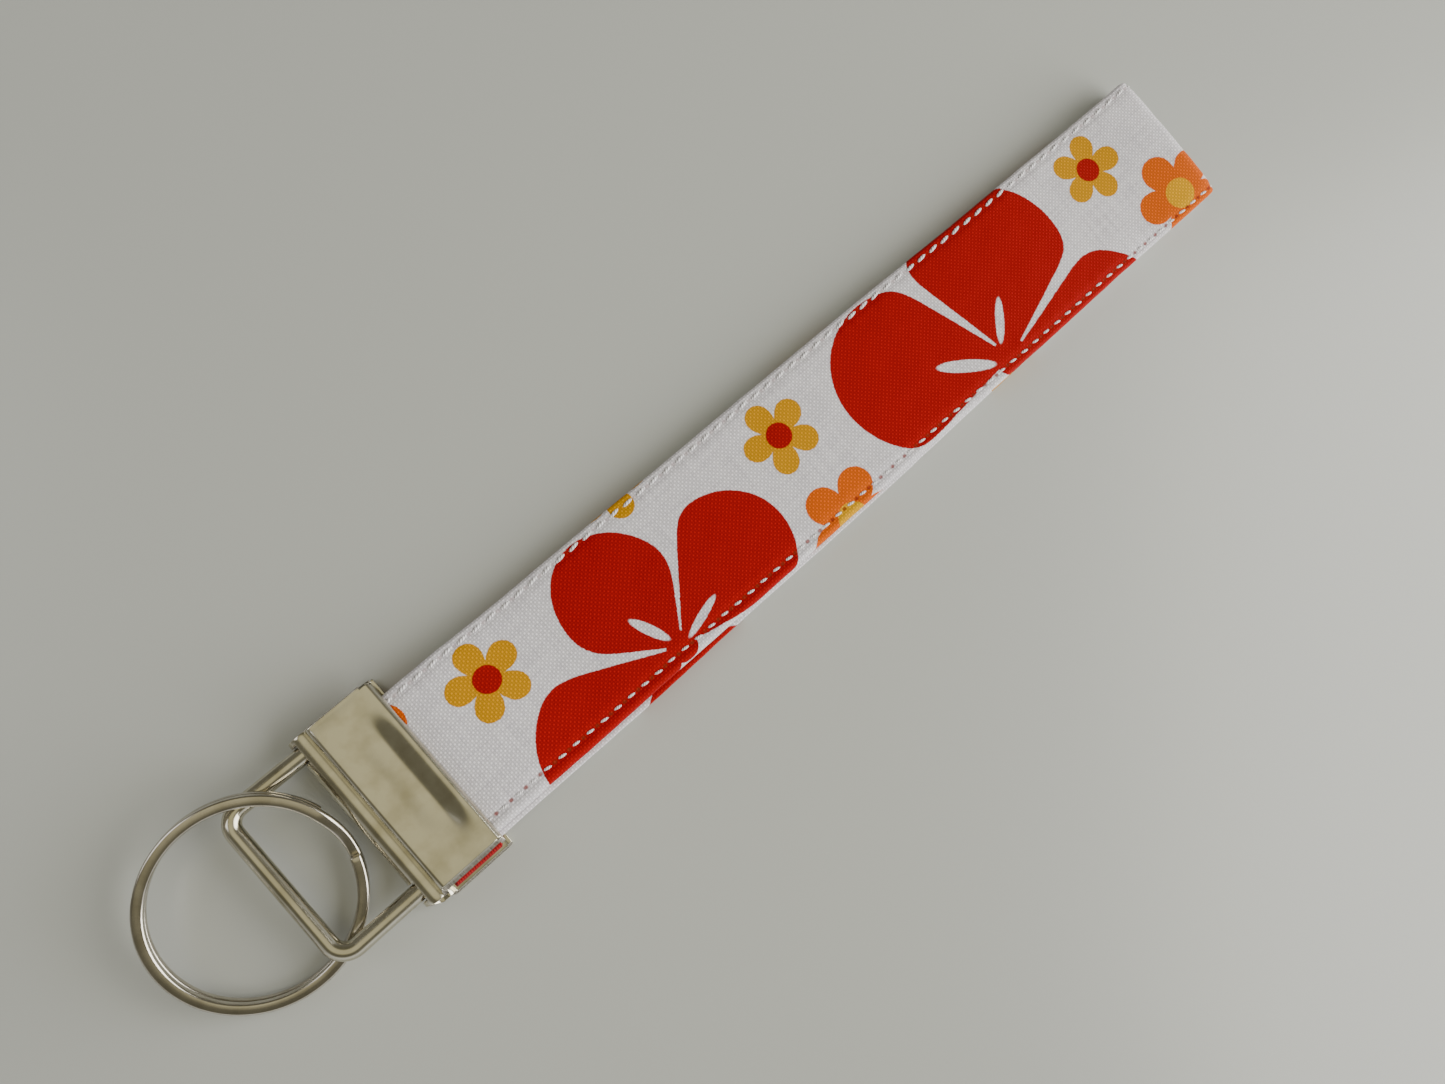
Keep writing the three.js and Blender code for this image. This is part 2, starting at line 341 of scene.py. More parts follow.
DAISIES = (
    Daisy(13, 5, 20, **YELLOW_DAISY),
    Daisy(74, 4.5, 28, **YELLOW_DAISY),
    Daisy(150.5, 5, 65, **YELLOW_DAISY),
    Daisy(46.5, 17, 54, **YELLOW_DAISY),
    Daisy(161.5, -9.5, 100, **ORANGE_DAISY),
    Daisy(74.5, -14, 119, **ORANGE_DAISY),
    Daisy(-7.9, 9.5, 0, **ORANGE_DAISY),
)


@dataclass(frozen=True)
class PrintedCotton:
    """Plain-woven quilting cotton, screen printed: matt, its ink dull and lying in the yarns.

    The real yarns are about 0.35 mm apart, and they are drawn at 0.44 mm so that they show.
    """

    name: str = "printed_plain_weave_cotton"
    ground: str = "f0ecf0"
    shadow: str = "c0b9c2"
    red: str = "ac0000"
    hole: str = "8f2b1c"
    yarn: float = 0.44
    ink_edge: float = 0.11
    petal_rounding: float = 4.0
    bleed: float = 0.12
    relief: float = 0.09

    def material(self, strap: "Strap") -> bpy.types.Material:
        """Builds the printed cloth.

        Args:
            strap: The strap whose seams, fold and stitch spacing the print follows.

        Returns:
            The material, which reads the cloth's own map in millimetres.
        """
        material, tree = new_material(self.name)
        cloth = add(tree, "UVMap", {}, uv_map=CLOTH_MAP)
        place = self._repeat(tree, cloth, strap.route)
        blotch = add(tree, "TexNoise", {"Vector": cloth, "Scale": 2.3, "Detail": 2.0})
        spread = add(tree, "VectorMath", {0: blotch.outputs[1], 1: (0.5, 0.5, 0.5)}, operation="SUBTRACT")
        bled = add(tree, "VectorMath", {0: spread, "Scale": self.bleed * 2}, operation="SCALE")
        place = add(tree, "VectorMath", {0: place, 1: bled}, operation="ADD")
        weave, slub = self._weave(tree, cloth)
        colour = add(tree, "Mix", {0: slub, 6: linear(self.ground), 7: linear(self.shadow)},
                     data_type="RGBA").outputs[2]
        for blossom in BLOSSOMS:
            mask = self._blossom(tree, place, blossom)
            colour = add(tree, "Mix", {0: mask, 6: colour, 7: linear(self.red)},
                         data_type="RGBA").outputs[2]
        for daisy in DAISIES:
            petals, disc = self._daisy(tree, place, daisy)
            colour = add(tree, "Mix", {0: petals, 6: colour, 7: linear(daisy.petal_colour)},
                         data_type="RGBA").outputs[2]
            colour = add(tree, "Mix", {0: disc, 6: colour, 7: linear(daisy.disc_colour)},
                         data_type="RGBA").outputs[2]
        # Painted shade in the needle holes, tinted by the red under-thread that shows in them.
        holes = self._needle_holes(tree, cloth, strap)
        colour = add(tree, "Mix", {0: holes, 6: colour, 7: linear(self.hole)}, data_type="RGBA").outputs[2]
        # Painted shade in the weave's gaps and a painted highlight on the raised yarns: the colour is
        # scaled from 0.5 where the weave is low up to 1.08 where it is high.
        gaps = add(tree, "MapRange", {0: weave, 1: 0.0, 2: 0.8, 3: 0.5, 4: 1.08})
        lit = add(tree, "VectorMath", {0: colour, "Scale": gaps}, operation="SCALE")
        bump = add(tree, "Bump", {"Height": weave, "Strength": 0.8, "Distance": self.relief * MM})
        shader = add(tree, "BsdfPrincipled", {
            "Base Color": lit, "Roughness": 0.85, "Specular IOR Level": 0.12, "Sheen Weight": 0.05,
            "Sheen Roughness": 0.5, "Normal": bump})
        add(tree, "OutputMaterial", {"Surface": shader})
        return material

    def _repeat(
        self, tree: bpy.types.NodeTree, cloth: bpy.types.Node, route: "StrapRoute"
    ) -> bpy.types.Node:
        """Starts the print again on the lower leg, where the design turns over.

        Args:
            tree: The node tree.
            cloth: The cloth's map.
            route: The strap's route, which says where the lower leg begins.

        Returns:
            The node that gives the place in the design.
        """
        parts = add(tree, "SeparateXYZ", {0: cloth})
        seam = route.bend_start + route.fold_length + 1
        below = add(tree, "Math", {0: parts, 1: seam}, operation="GREATER_THAN")
        along = add(tree, "Math", {0: below, 1: -seam - 3, 2: parts}, operation="MULTIPLY_ADD")
        flip = add(tree, "Math", {0: below, 1: -2.0, 2: 1.0}, operation="MULTIPLY_ADD")
        across = add(tree, "Math", {0: parts.outputs[1], 1: flip}, operation="MULTIPLY")
        return add(tree, "CombineXYZ", {0: along, 1: across})

    def _weave(
        self, tree: bpy.types.NodeTree, cloth: bpy.types.Node
    ) -> tuple[bpy.types.Node, bpy.types.Node]:
        """Draws the plain weave, one rounded yarn crossing to each cell, over and under in turn.

        Args:
            tree: The node tree.
            cloth: The cloth's map.

        Returns:
            The nodes that give the height of the weave and the share of shade in uneven yarns.
        """
        turned = add(tree, "VectorMath", {0: cloth, 1: (math.pi / self.yarn, math.pi / self.yarn, 0)},
                     operation="MULTIPLY")
        parts = add(tree, "SeparateXYZ", {0: turned})
        warp = add(tree, "Math", {0: parts.outputs[0]}, operation="SINE")
        weft = add(tree, "Math", {0: parts.outputs[1]}, operation="SINE")
        cross = add(tree, "Math", {0: warp, 1: weft}, operation="MULTIPLY")
        crown = add(tree, "Math", {0: cross}, operation="ABSOLUTE")
        over = add(tree, "Math", {0: cross, 1: 0.25, 2: 0.25}, operation="MULTIPLY_ADD")
        weave = add(tree, "Math", {0: crown, 1: 0.5, 2: over}, operation="MULTIPLY_ADD")
        streaks = []
        for stretch in ((0.12, 1.9, 0), (1.9, 0.12, 0)):
            pulled = add(tree, "VectorMath", {0: cloth, 1: stretch}, operation="MULTIPLY")
            streaks.append(add(tree, "TexNoise", {"Vector": pulled, "Scale": 1.0, "Detail": 3.0}))
        both = add(tree, "Math", {0: streaks[0], 1: streaks[1]}, operation="ADD")
        return weave, add(tree, "MapRange", {0: both, 1: 0.85, 2: 1.35, 3: 0.0, 4: 0.55})

    def _blossom(
        self, tree: bpy.types.NodeTree, place: bpy.types.Node, blossom: Blossom
    ) -> bpy.types.Node:
        """Draws a large flower: its petals, a round hub and the slits cut out of them.

        Args:
            tree: The node tree.
            place: The place in the design.
            blossom: The flower's shape.

        Returns:
            The node that gives the share of ink, from 0 to 1.
        """
        here = add(tree, "VectorMath", {0: place, 1: (-blossom.x, -blossom.y, 0)}, operation="ADD")
        reach = add(tree, "VectorMath", {0: here}, operation="LENGTH").outputs["Value"]
        depth = add(tree, "Math", {0: blossom.hub, 1: reach}, operation="SUBTRACT")
        for petal in blossom.petals:
            turned = add(tree, "VectorRotate", {"Vector": here, "Angle": -math.radians(petal.axis)},
                         rotation_type="Z_AXIS")
            parts = add(tree, "SeparateXYZ", {0: turned})
            beside = add(tree, "Math", {0: parts.outputs[1]}, operation="ABSOLUTE")
            half = math.radians(petal.spread)
            narrow = add(tree, "Math", {0: beside, 1: -math.cos(half)}, operation="MULTIPLY")
            wedge = add(tree, "Math", {0: parts.outputs[0], 1: math.sin(half), 2: narrow},
                        operation="MULTIPLY_ADD")
            past = add(tree, "Math", {0: parts.outputs[0], 1: petal.shoulder}, operation="SUBTRACT")
            past = add(tree, "Math", {0: past, 1: 0.0}, operation="MAXIMUM")
            oval = add(tree, "CombineXYZ", {0: past, 1: beside})
            oval = add(tree, "VectorMath", {0: oval, 1: (1 / petal.length, 1 / petal.breadth, 0)},
                       operation="MULTIPLY")
            oval = add(tree, "VectorMath", {0: oval}, operation="LENGTH").outputs["Value"]
            cap = add(tree, "Math", {0: oval, 1: -petal.breadth, 2: petal.breadth},
                      operation="MULTIPLY_ADD")
            shape = add(tree, "Math", {0: wedge, 1: cap, 2: self.petal_rounding}, operation="SMOOTH_MIN")
            depth = add(tree, "Math", {0: depth, 1: shape}, operation="MAXIMUM")
        for slit in blossom.slits:
            from_middle = add(tree, "VectorMath", {0: here, 1: (-slit.x, -slit.y, 0)}, operation="ADD")
            turned = add(tree, "VectorRotate", {"Vector": from_middle, "Angle": -math.radians(slit.axis)},
                         rotation_type="Z_AXIS")
            oval = add(tree, "VectorMath", {0: turned, 1: (1 / slit.length, 1 / slit.width, 0)},
                       operation="MULTIPLY")
            oval = add(tree, "VectorMath", {0: oval}, operation="LENGTH").outputs["Value"]
            clear = add(tree, "Math", {0: oval, 1: slit.width, 2: -slit.width}, operation="MULTIPLY_ADD")
            depth = add(tree, "Math", {0: depth, 1: clear}, operation="MINIMUM")
        return self._ink(tree, depth)

    def _daisy(
        self, tree: bpy.types.NodeTree, place: bpy.types.Node, daisy: Daisy
    ) -> tuple[bpy.types.Node, bpy.types.Node]:
        """Draws a small flower by folding the plane into one of its five petals.

        Args:
            tree: The node tree.
            place: The place in the design.
            daisy: The flower's shape.

        Returns:
            The nodes that give the share of ink in the petals and in the disc.
        """
        fifth = 2 * math.pi / 5
        here = add(tree, "VectorMath", {0: place, 1: (-daisy.x, -daisy.y, 0)}, operation="ADD")
        here = add(tree, "VectorRotate", {"Vector": here, "Angle": -math.radians(daisy.turn)},
                   rotation_type="Z_AXIS")
        parts = add(tree, "SeparateXYZ", {0: here})
        reach = add(tree, "VectorMath", {0: here}, operation="LENGTH").outputs["Value"]
        angle = add(tree, "Math", {0: parts.outputs[1], 1: parts.outputs[0]}, operation="ARCTAN2")
        angle = add(tree, "Math", {0: angle, 1: fifth / 2}, operation="ADD")
        angle = add(tree, "Math", {0: angle, 1: fifth}, operation="FLOORED_MODULO")
        angle = add(tree, "Math", {0: angle, 1: fifth / 2}, operation="SUBTRACT")
        folded = add(tree, "CombineXYZ", {0: reach})
        folded = add(tree, "VectorRotate", {"Vector": folded, "Angle": angle}, rotation_type="Z_AXIS")
        parts = add(tree, "SeparateXYZ", {0: folded})
        ahead = add(tree, "Math", {0: parts.outputs[0], 1: daisy.petal_reach}, operation="SUBTRACT")
        long_way = add(tree, "Math", {0: ahead, 1: 0.72}, operation="MULTIPLY")
        inner = add(tree, "Math", {0: ahead, 1: long_way}, operation="MAXIMUM")
        petal = add(tree, "CombineXYZ", {0: inner, 1: parts.outputs[1]})
        petal = add(tree, "VectorMath", {0: petal}, operation="LENGTH").outputs["Value"]
        petal = add(tree, "Math", {0: daisy.petal_radius, 1: petal}, operation="SUBTRACT")
        heart = add(tree, "Math", {0: daisy.disc * 1.2, 1: reach}, operation="SUBTRACT")
        petal = add(tree, "Math", {0: petal, 1: heart, 2: 0.9}, operation="SMOOTH_MAX")
        disc = add(tree, "Math", {0: daisy.disc, 1: reach}, operation="SUBTRACT")
        return self._ink(tree, petal), self._ink(tree, disc)

    def _ink(self, tree: bpy.types.NodeTree, depth: bpy.types.Node) -> bpy.types.Node:
        """Turns a depth inside a shape into a share of ink, with the soft edge that cloth gives it."""
        return add(tree, "Math", {0: depth, 1: 1 / self.ink_edge, 2: 0.5}, operation="MULTIPLY_ADD",
                   use_clamp=True)

    def _needle_holes(
        self, tree: bpy.types.NodeTree, cloth: bpy.types.Node, strap: "Strap"
    ) -> bpy.types.Node:
        """Paints a dark red-brown mark at each end of each stitch: painted shade in the needle hole, with
        the red under-thread showing in it, stronger along the right row.

        Args:
            tree: The node tree.
            cloth: The cloth's map.
            strap: The strap, for its seams and stitches.

        Returns:
            The node that gives the strength of the painted hole shade, from 0 to 1.
        """
        parts = add(tree, "SeparateXYZ", {0: cloth})
        pitch = strap.stitch_pitch
        near, far = strap.right_seam
        beside = add(tree, "Math", {0: parts.outputs[1]}, operation="ABSOLUTE")
        right = add(tree, "MapRange", {0: parts, 1: 0.0, 2: strap.route.bend_start, 3: near, 4: far})
        is_left = add(tree, "Math", {0: parts.outputs[1], 1: 0.0}, operation="GREATER_THAN")
        seam = add(tree, "Mix", {0: is_left, 2: right, 3: strap.left_seam})
        beside = add(tree, "Math", {0: beside, 1: seam}, operation="SUBTRACT")
        along = add(tree, "Math", {0: parts.outputs[0], 1: pitch}, operation="FLOORED_MODULO")
        along = add(tree, "Math", {0: along, 1: pitch / 2}, operation="SUBTRACT")
        spot = add(tree, "CombineXYZ", {0: along, 1: beside})
        spot = add(tree, "VectorMath", {0: spot, 1: (0.8, 1.0, 0)}, operation="MULTIPLY")
        spot = add(tree, "VectorMath", {0: spot}, operation="LENGTH").outputs["Value"]
        lower = add(tree, "MapRange", {0: parts.outputs[1], 1: -2.0, 2: 2.0, 3: 0.8, 4: 0.22})
        hole = add(tree, "MapRange", {0: spot, 1: 0.42, 2: 0.2, 3: 0.0, 4: 1.0})
        return add(tree, "Math", {0: hole, 1: lower}, operation="MULTIPLY")


@dataclass(frozen=True)
class WovenCloth:
    """Piece-dyed plain-woven cotton: matt, its colour even through the yarn, with painted shade in the gaps
    between yarns.
    """

    name: str
    colour: str
    gap_shade: str
    yarn: float
    relief: float = 0.09

    def material(self) -> bpy.types.Material:
        """Builds the dyed cloth.

        Returns:
            The material, which reads the cloth's own map in millimetres.
        """
        material, tree = new_material(self.name)
        cloth = add(tree, "UVMap", {}, uv_map=CLOTH_MAP)
        turned = add(tree, "VectorMath", {0: cloth, 1: (math.pi / self.yarn, math.pi / self.yarn, 0)},
                     operation="MULTIPLY")
        parts = add(tree, "SeparateXYZ", {0: turned})
        warp = add(tree, "Math", {0: parts.outputs[0]}, operation="SINE")
        weft = add(tree, "Math", {0: parts.outputs[1]}, operation="SINE")
        cross = add(tree, "Math", {0: warp, 1: weft}, operation="MULTIPLY")
        crown = add(tree, "Math", {0: cross}, operation="ABSOLUTE")
        fuzz = add(tree, "TexNoise", {"Vector": cloth, "Scale": 1.4, "Detail": 4.0})
        height = add(tree, "Math", {0: fuzz, 1: 0.4, 2: crown}, operation="MULTIPLY_ADD")
        # Painted shade: the colour falls towards the gap shade colour where the yarns dip between
        # crossings, with random fuzz mixed in.
        shade = add(tree, "Mix", {0: height, 6: linear(self.gap_shade), 7: linear(self.colour)}, data_type="RGBA")
        bump = add(tree, "Bump", {"Height": height, "Strength": 0.8, "Distance": self.relief * MM})
        shader = add(tree, "BsdfPrincipled", {
            "Base Color": shade.outputs[2], "Roughness": 0.85, "Specular IOR Level": 0.3,
            "Sheen Weight": 0.15, "Sheen Roughness": 0.5, "Normal": bump})
        add(tree, "OutputMaterial", {"Surface": shader})
        return material


@dataclass(frozen=True)
class SewingThread:
    """Spun polyester thread, two plies twisted together: a soft gloss, with a groove between the plies and
    painted shade in it.
    """

    name: str
    colour: str
    groove: str
    turns: float = 3.0

    def material(self) -> bpy.types.Material:
        """Builds the thread.

        Returns:
            The material, which reads each stitch's own map.
        """
        material, tree = new_material(self.name)
        stitch = add(tree, "UVMap", {}, uv_map=CLOTH_MAP)
        parts = add(tree, "SeparateXYZ", {0: stitch})
        around = add(tree, "Math", {0: parts.outputs[0], 1: 4 * math.pi}, operation="MULTIPLY")
        along = add(tree, "Math", {0: parts.outputs[1], 1: 4 * math.pi * self.turns, 2: around},
                    operation="MULTIPLY_ADD")
        ply = add(tree, "Math", {0: along}, operation="SINE")
        level = add(tree, "MapRange", {0: ply, 1: -1.0, 2: 0.2})
        # Painted shade: the thread darkens towards its groove colour in the groove between the plies.
        shade = add(tree, "Mix", {0: level, 6: linear(self.groove), 7: linear(self.colour)},
                    data_type="RGBA")
        bump = add(tree, "Bump", {"Height": level, "Strength": 0.7, "Distance": 0.04 * MM})
        shader = add(tree, "BsdfPrincipled", {
            "Base Color": shade.outputs[2], "Roughness": 0.5, "Sheen Weight": 0.2, "Normal": bump})
        add(tree, "OutputMaterial", {"Surface": shader})
        return material


@dataclass(frozen=True)
class LacqueredTable:
    """A pale grey lacquered board: smooth, with a soft clear gloss."""

    name: str = "pale_lacquered_board"
    colour: str = "b6b8b3"

    def material(self) -> bpy.types.Material:
        """Builds the floor's finish."""
        material, tree = new_material(self.name)
        shader = add(tree, "BsdfPrincipled", {
            "Base Color": linear(self.colour), "Roughness": 0.28, "Specular IOR Level": 0.5})
        add(tree, "OutputMaterial", {"Surface": shader})
        return material


# Metal parts


@dataclass
class BendingJig:
    """Feeds wire or sheet forward in one plane and bends it, as a forming jig does.

    The front is the open end of the stock. Each vertex keeps its place in the straight stock, with
    the length fed so far as its first coordinate.
    """

    bm: bmesh.types.BMesh
    front: list[bmesh.types.BMEdge]
    at: Vector
    right: Vector
    up: Vector
    heading: float
    fed: float = 0.0

    def __post_init__(self) -> None:
        """Records where the first row lies in the straight stock."""
        self.unbent = self.bm.verts.layers.float_vector.new(UNBENT)
        forward = self._direction(self.heading)
        left = self._direction(self.heading + math.pi / 2)
        for vert in {v for edge in self.front for v in edge.verts}:
            offset = vert.co - self.at
            vert[self.unbent] = Vector((0, offset.dot(left), offset.dot(self.right.cross(self.up))))
            vert.co -= forward * offset.dot(forward)

    def _direction(self, angle: float) -> Vector:
        """The unit vector at an angle from right towards up."""
        return self.right * math.cos(angle) + self.up * math.sin(angle)

    def _advance(self, made: list[Any], length: float) -> None:
        """Makes the new row the front, and counts the length fed.

        Args:
            made: The geometry that the last step made.
            length: The length of that step, in millimetres.
        """
        verts = {g for g in made if isinstance(g, bmesh.types.BMVert)}
        edges = [g for g in made if isinstance(g, bmesh.types.BMEdge)]
        self.front = [edge for edge in edges if set(edge.verts) <= verts]
        self.fed += length
        for vert in verts:
            old = vert[self.unbent]
            vert[self.unbent] = Vector((self.fed, old[1], old[2]))

    def run(self, length: float, steps: int = 1) -> None:
        """Feeds a straight length.

        Args:
            length: The length in millimetres.
            steps: How many rows it is divided into.
        """
        move = self._direction(self.heading) * (length / steps)
        for _ in range(steps):
            made = bmesh.ops.extrude_edge_only(self.bm, edges=self.front)["geom"]
            verts = [piece for piece in made if isinstance(piece, bmesh.types.BMVert)]
            bmesh.ops.translate(self.bm, vec=move, verts=verts)
            self.at = self.at + move
            self._advance(made, length / steps)

    def bend(self, radius: float, angle: float, steps: int, rises: list[float] | None = None) -> None:
        """Bends round a centre beside the stock.

        Args:
            radius: The radius at the stock's middle, in millimetres.
            angle: The angle in radians, positive to the left of the heading.
            steps: How many rows the bend is divided into.
            rises: How far each row climbs out of the plane, where the bend is a helix.
        """
        axis = self.right.cross(self.up)
        side = math.copysign(1, angle)
        centre = self.at + self._direction(self.heading + side * math.pi / 2) * radius
        share = angle / steps
        turn = Matrix.Rotation(share, 3, axis)
        for step in range(steps):
            climb = axis * (rises[step] if rises else 0.0)
            verts = list({v for edge in self.front for v in edge.verts})
            made = bmesh.ops.spin(
                self.bm, geom=verts + self.front, cent=centre, axis=axis, dvec=climb, angle=share,
                steps=1, use_merge=False, use_duplicate=False)["geom_last"]
            self.at = centre + turn @ (self.at - centre) + climb
            self._advance(made, radius * abs(share))
        self.heading += angle

    def cap(self, edges: list[bmesh.types.BMEdge]) -> None:
        """Closes one end of a wire and rounds off its rim."""
        face = bmesh.ops.edgeloop_fill(self.bm, edges=edges)["faces"]
        rim = [edge for made in face for edge in made.edges]
        bmesh.ops.bevel(self.bm, geom=rim, offset=0.15, offset_type="OFFSET", affect="EDGES", segments=2,
                        profile=0.5, material=-1)


def start_row(bm: bmesh.types.BMesh, ends: tuple[Vector, Vector], cuts: int) -> list[bmesh.types.BMEdge]:
    """Lays the first row of a sheet.

    Args:
        bm: The shape to add to.
        ends: The row's two ends.
        cuts: How many points divide it.

    Returns:
        The row's edges.
    """
    edge = bm.edges.new([bm.verts.new(end) for end in ends])
    bmesh.ops.subdivide_edges(bm, edges=[edge], cuts=cuts)
    return list(bm.edges)


@dataclass(frozen=True)
class ShearedEnd:
    """How far one end of the clamp departs from square, in millimetres along Y.

    The upper jaw's cut leans in by slant and starts out by spare, its mouth corner is clipped by
    corner, and the lower jaw is longer by lower.
    """

    slant: float
    spare: float
    corner: float
    lower: float


@dataclass
class EndClamp:
    """One plated sheet folded round a barrel, with dished jaws and turned-in lips. Millimetres."""

    width: float = (CLAMP_HIGH.y - CLAMP_LOW.y) / MM
    height: float = (CLAMP_HIGH.z - CLAMP_LOW.z) / MM
    barrel_x: float = (JOINTS["bail_swing"].x - CLAMP_HIGH.x) / MM
    sheet: float = 0.8
    lip_height: float = 2.45
    lip_radius: float = 0.9
    panel_radius: float = 1.0
    slope: float = math.radians(75)
    neck: float = math.radians(65)
    groove_radius: float = 0.05
    barrel_radius: float = 2.25
    slot_y: float = 13.3
    slot_half: float = 1.65
    slot_reach: float = 1.6
    roof_reach: float = 1.15
    roof_height: float = 1.75
    roof_end: float = 0.6
    dish: float = 0.95
    dish_run: tuple[float, float] = (0.8, 6.6)
    lip_run: float = 3.4
    dent: float = 0.12
    dent_at: tuple[float, float] = (1.7, 1.5)
    dent_spread: tuple[float, float] = (0.9, 4.5)
    ridge: float = 0.1
    cut_from: float = 2.2
    cut_to: float = 3.7
    right_end: ShearedEnd = ShearedEnd(slant=1.15, spare=0.4, corner=0.0, lower=1.75)
    left_end: ShearedEnd = ShearedEnd(slant=0.3, spare=0.0, corner=0.8, lower=0.2)
    columns: int = 63
    finish: PlatedNickel = PlatedNickel("nickel_plated_pressed_steel", line_pitch=0.5)
    edge_finish: ShearedSteel = ShearedSteel()
    panel: tuple[float, float] = field(init=False)

    def build(self) -> bpy.types.Object:
        """Folds, slots, dishes and thickens the sheet.

        Returns:
            The finished clamp.
        """
        bm = bmesh.new()
        self._fold(bm)
        self._slot(bm)
        for vert in bm.verts:
            vert.co.z -= math.copysign(self._sink(vert.co), vert.co.z) if abs(vert.co.z) > 3 else 0.0
        bmesh.ops.recalc_face_normals(bm, faces=bm.faces)
        if sum(face.normal.z * face.calc_center_median().z for face in bm.faces) < 0:
            bmesh.ops.reverse_faces(bm, faces=bm.faces)
        bmesh.ops.solidify(bm, geom=bm.faces, thickness=self.sheet)
        self._relieve(bm)
        self._trim(bm)
        sharp = [e for e in bm.edges if len(e.link_faces) == 2 and e.calc_face_angle() > math.radians(50)]
        bmesh.ops.bevel(bm, geom=sharp, offset=0.09, offset_type="OFFSET", affect="EDGES", segments=2,
                        profile=0.5, material=-1)
        bmesh.ops.recalc_face_normals(bm, faces=bm.faces)
        for face in bm.faces:
            face.material_index = 1 if abs(face.normal.y) > 0.45 else 0
        bmesh.ops.translate(bm, vec=Vector((0, 0, CLAMP_MIDDLE)), verts=bm.verts)
        return finish_piece(bm, "folded_end_clamp", CLAMP_MOUTH,
                            [self.finish.material(), self.edge_finish.material()])

    def _fold(self, bm: bmesh.types.BMesh) -> None:
        """Bends the sheet's outer face from the upper lip, round the barrel, to the lower lip."""
        top = self.height / 2
        mouth = -1e-4
        reach = self.barrel_radius + self.groove_radius
        slope_foot = reach * math.sin(self.neck) - self.groove_radius * math.cos(self.slope)
        slope_head = top - self.panel_radius * (1 - math.cos(self.slope))
        drop = slope_head - slope_foot
        far = (self.barrel_x + reach * math.cos(self.neck) + drop / math.tan(self.slope)
               + (self.groove_radius + self.panel_radius) * math.sin(self.slope))
        near = mouth - self.lip_radius
        self.panel = (far, near)
        ends = tuple(Vector((mouth, side * self.width / 2, self.lip_height)) for side in (-1, 1))
        jig = BendingJig(bm, start_row(bm, ends, self.columns), at=Vector((mouth, 0, self.lip_height)),
                         right=Vector((1, 0, 0)), up=Vector((0, 0, 1)), heading=math.pi / 2)
        lip = top - self.lip_radius - self.lip_height
        groove = -(self.slope + math.pi / 2 - self.neck)
        jig.run(lip)
        jig.bend(self.lip_radius, math.pi / 2, 9)
        jig.run(near - far, 20)
        jig.bend(self.panel_radius, self.slope, 8)
        jig.run(drop / math.sin(self.slope), 2)
        jig.bend(self.groove_radius, groove, 6)
        jig.bend(self.barrel_radius, 2 * (math.pi - self.neck), 40)
        jig.bend(self.groove_radius, groove, 6)
        jig.run(drop / math.sin(self.slope), 2)
        jig.bend(self.panel_radius, self.slope, 8)
        jig.run(near - far, 20)
        jig.bend(self.lip_radius, math.pi / 2, 9)
        jig.run(lip)

    def _slot(self, bm: bmesh.types.BMesh) -> None:
        """Cuts the barrel away below and in front of the bail's legs, and leaves a roof over them."""
        reach_x = self.barrel_x + self.slot_reach
        roof_x = self.barrel_x - self.roof_reach
        cuts = [(Vector((x, 0, 0)), Vector((1, 0, 0))) for x in (reach_x, roof_x)]
        for side in (-1, 1):
            for half in (-self.slot_half, self.slot_half):
                cuts.append((Vector((0, side * self.slot_y + half, 0)), Vector((0, 1, 0))))
        for point, normal in cuts:
            bmesh.ops.bisect_plane(bm, geom=bm.verts[:] + bm.edges[:] + bm.faces[:], plane_co=point,
                                   plane_no=normal, dist=1e-4)
        gone = []
        for face in bm.faces:
            middle = face.calc_center_median()
            roof = middle.z > 0 and middle.x > roof_x
            if middle.x < reach_x and not roof and abs(abs(middle.y) - self.slot_y) < self.slot_half:
                gone.append(face)
        bmesh.ops.delete(bm, geom=gone, context="FACES")

    def _relieve(self, bm: bmesh.types.BMesh) -> None:
        """Thins the roof over each leg from below, so that the wire can turn under it."""
        for vert in bm.verts:
            inside = abs(abs(vert.co.y) - self.slot_y) < self.slot_half - 0.05
            under = 0 < vert.co.z < self.roof_height and vert.co.x < self.barrel_x + self.roof_end
            if inside and under:
                vert.co.z = self.roof_height

    def _sink(self, co: Vector) -> float:
        """How far the press has sunk a point of a jaw, with a low ridge left along its ends.

        Args:
            co: The point on the flat jaw.

        Returns:
            The depth in millimetres.
        """
        far, near = self.panel
        start, full = self.dish_run
        lip = smoothstep(-co.x, -near - 0.1, -near + self.lip_run)
        across = abs(co.y) / (self.width / 2)
        hollow = smoothstep(co.x, far + start, far + full) * lip * (1 - smoothstep(across, 0.35, 0.9))
        along = (co.x - far - self.dent_at[0]) / self.dent_spread[0]
        beside = (co.y - self.dent_at[1]) / self.dent_spread[1]
        dent = self.dent * math.exp(-along ** 2 - beside ** 2)
        return self.dish * hollow + dent - self.ridge * lip * smoothstep(across, 0.86, 0.97)

    def _trim(self, bm: bmesh.types.BMesh) -> None:
        """Slants the upper jaw's sheared ends, and leaves the lower jaw a little longer."""
        end = self.width / 2
        for vert in bm.verts:
            if abs(vert.co.y) < end - 1e-3:
                continue
            side = math.copysign(1, vert.co.y)
            cut = self.left_end if side > 0 else self.right_end
            jaw = smoothstep(vert.co.x, self.barrel_x - self.barrel_radius, self.barrel_x)
            outer = smoothstep(abs(vert.co.z), self.cut_from, self.cut_to)
            if vert.co.z > 0:
                clipped = cut.corner * smoothstep(vert.co.x, -2.2, 0.0)
                vert.co.y += side * jaw * (cut.spare - cut.slant * outer - clipped)
            else:
                vert.co.y += side * jaw * cut.lower * (0.7 + 0.3 * outer)

    def dress(self, piece: bpy.types.Object) -> None:
        """Lets the piece stand for the CAD clamp."""
        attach(piece, "clamp")
        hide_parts("end_clamp")


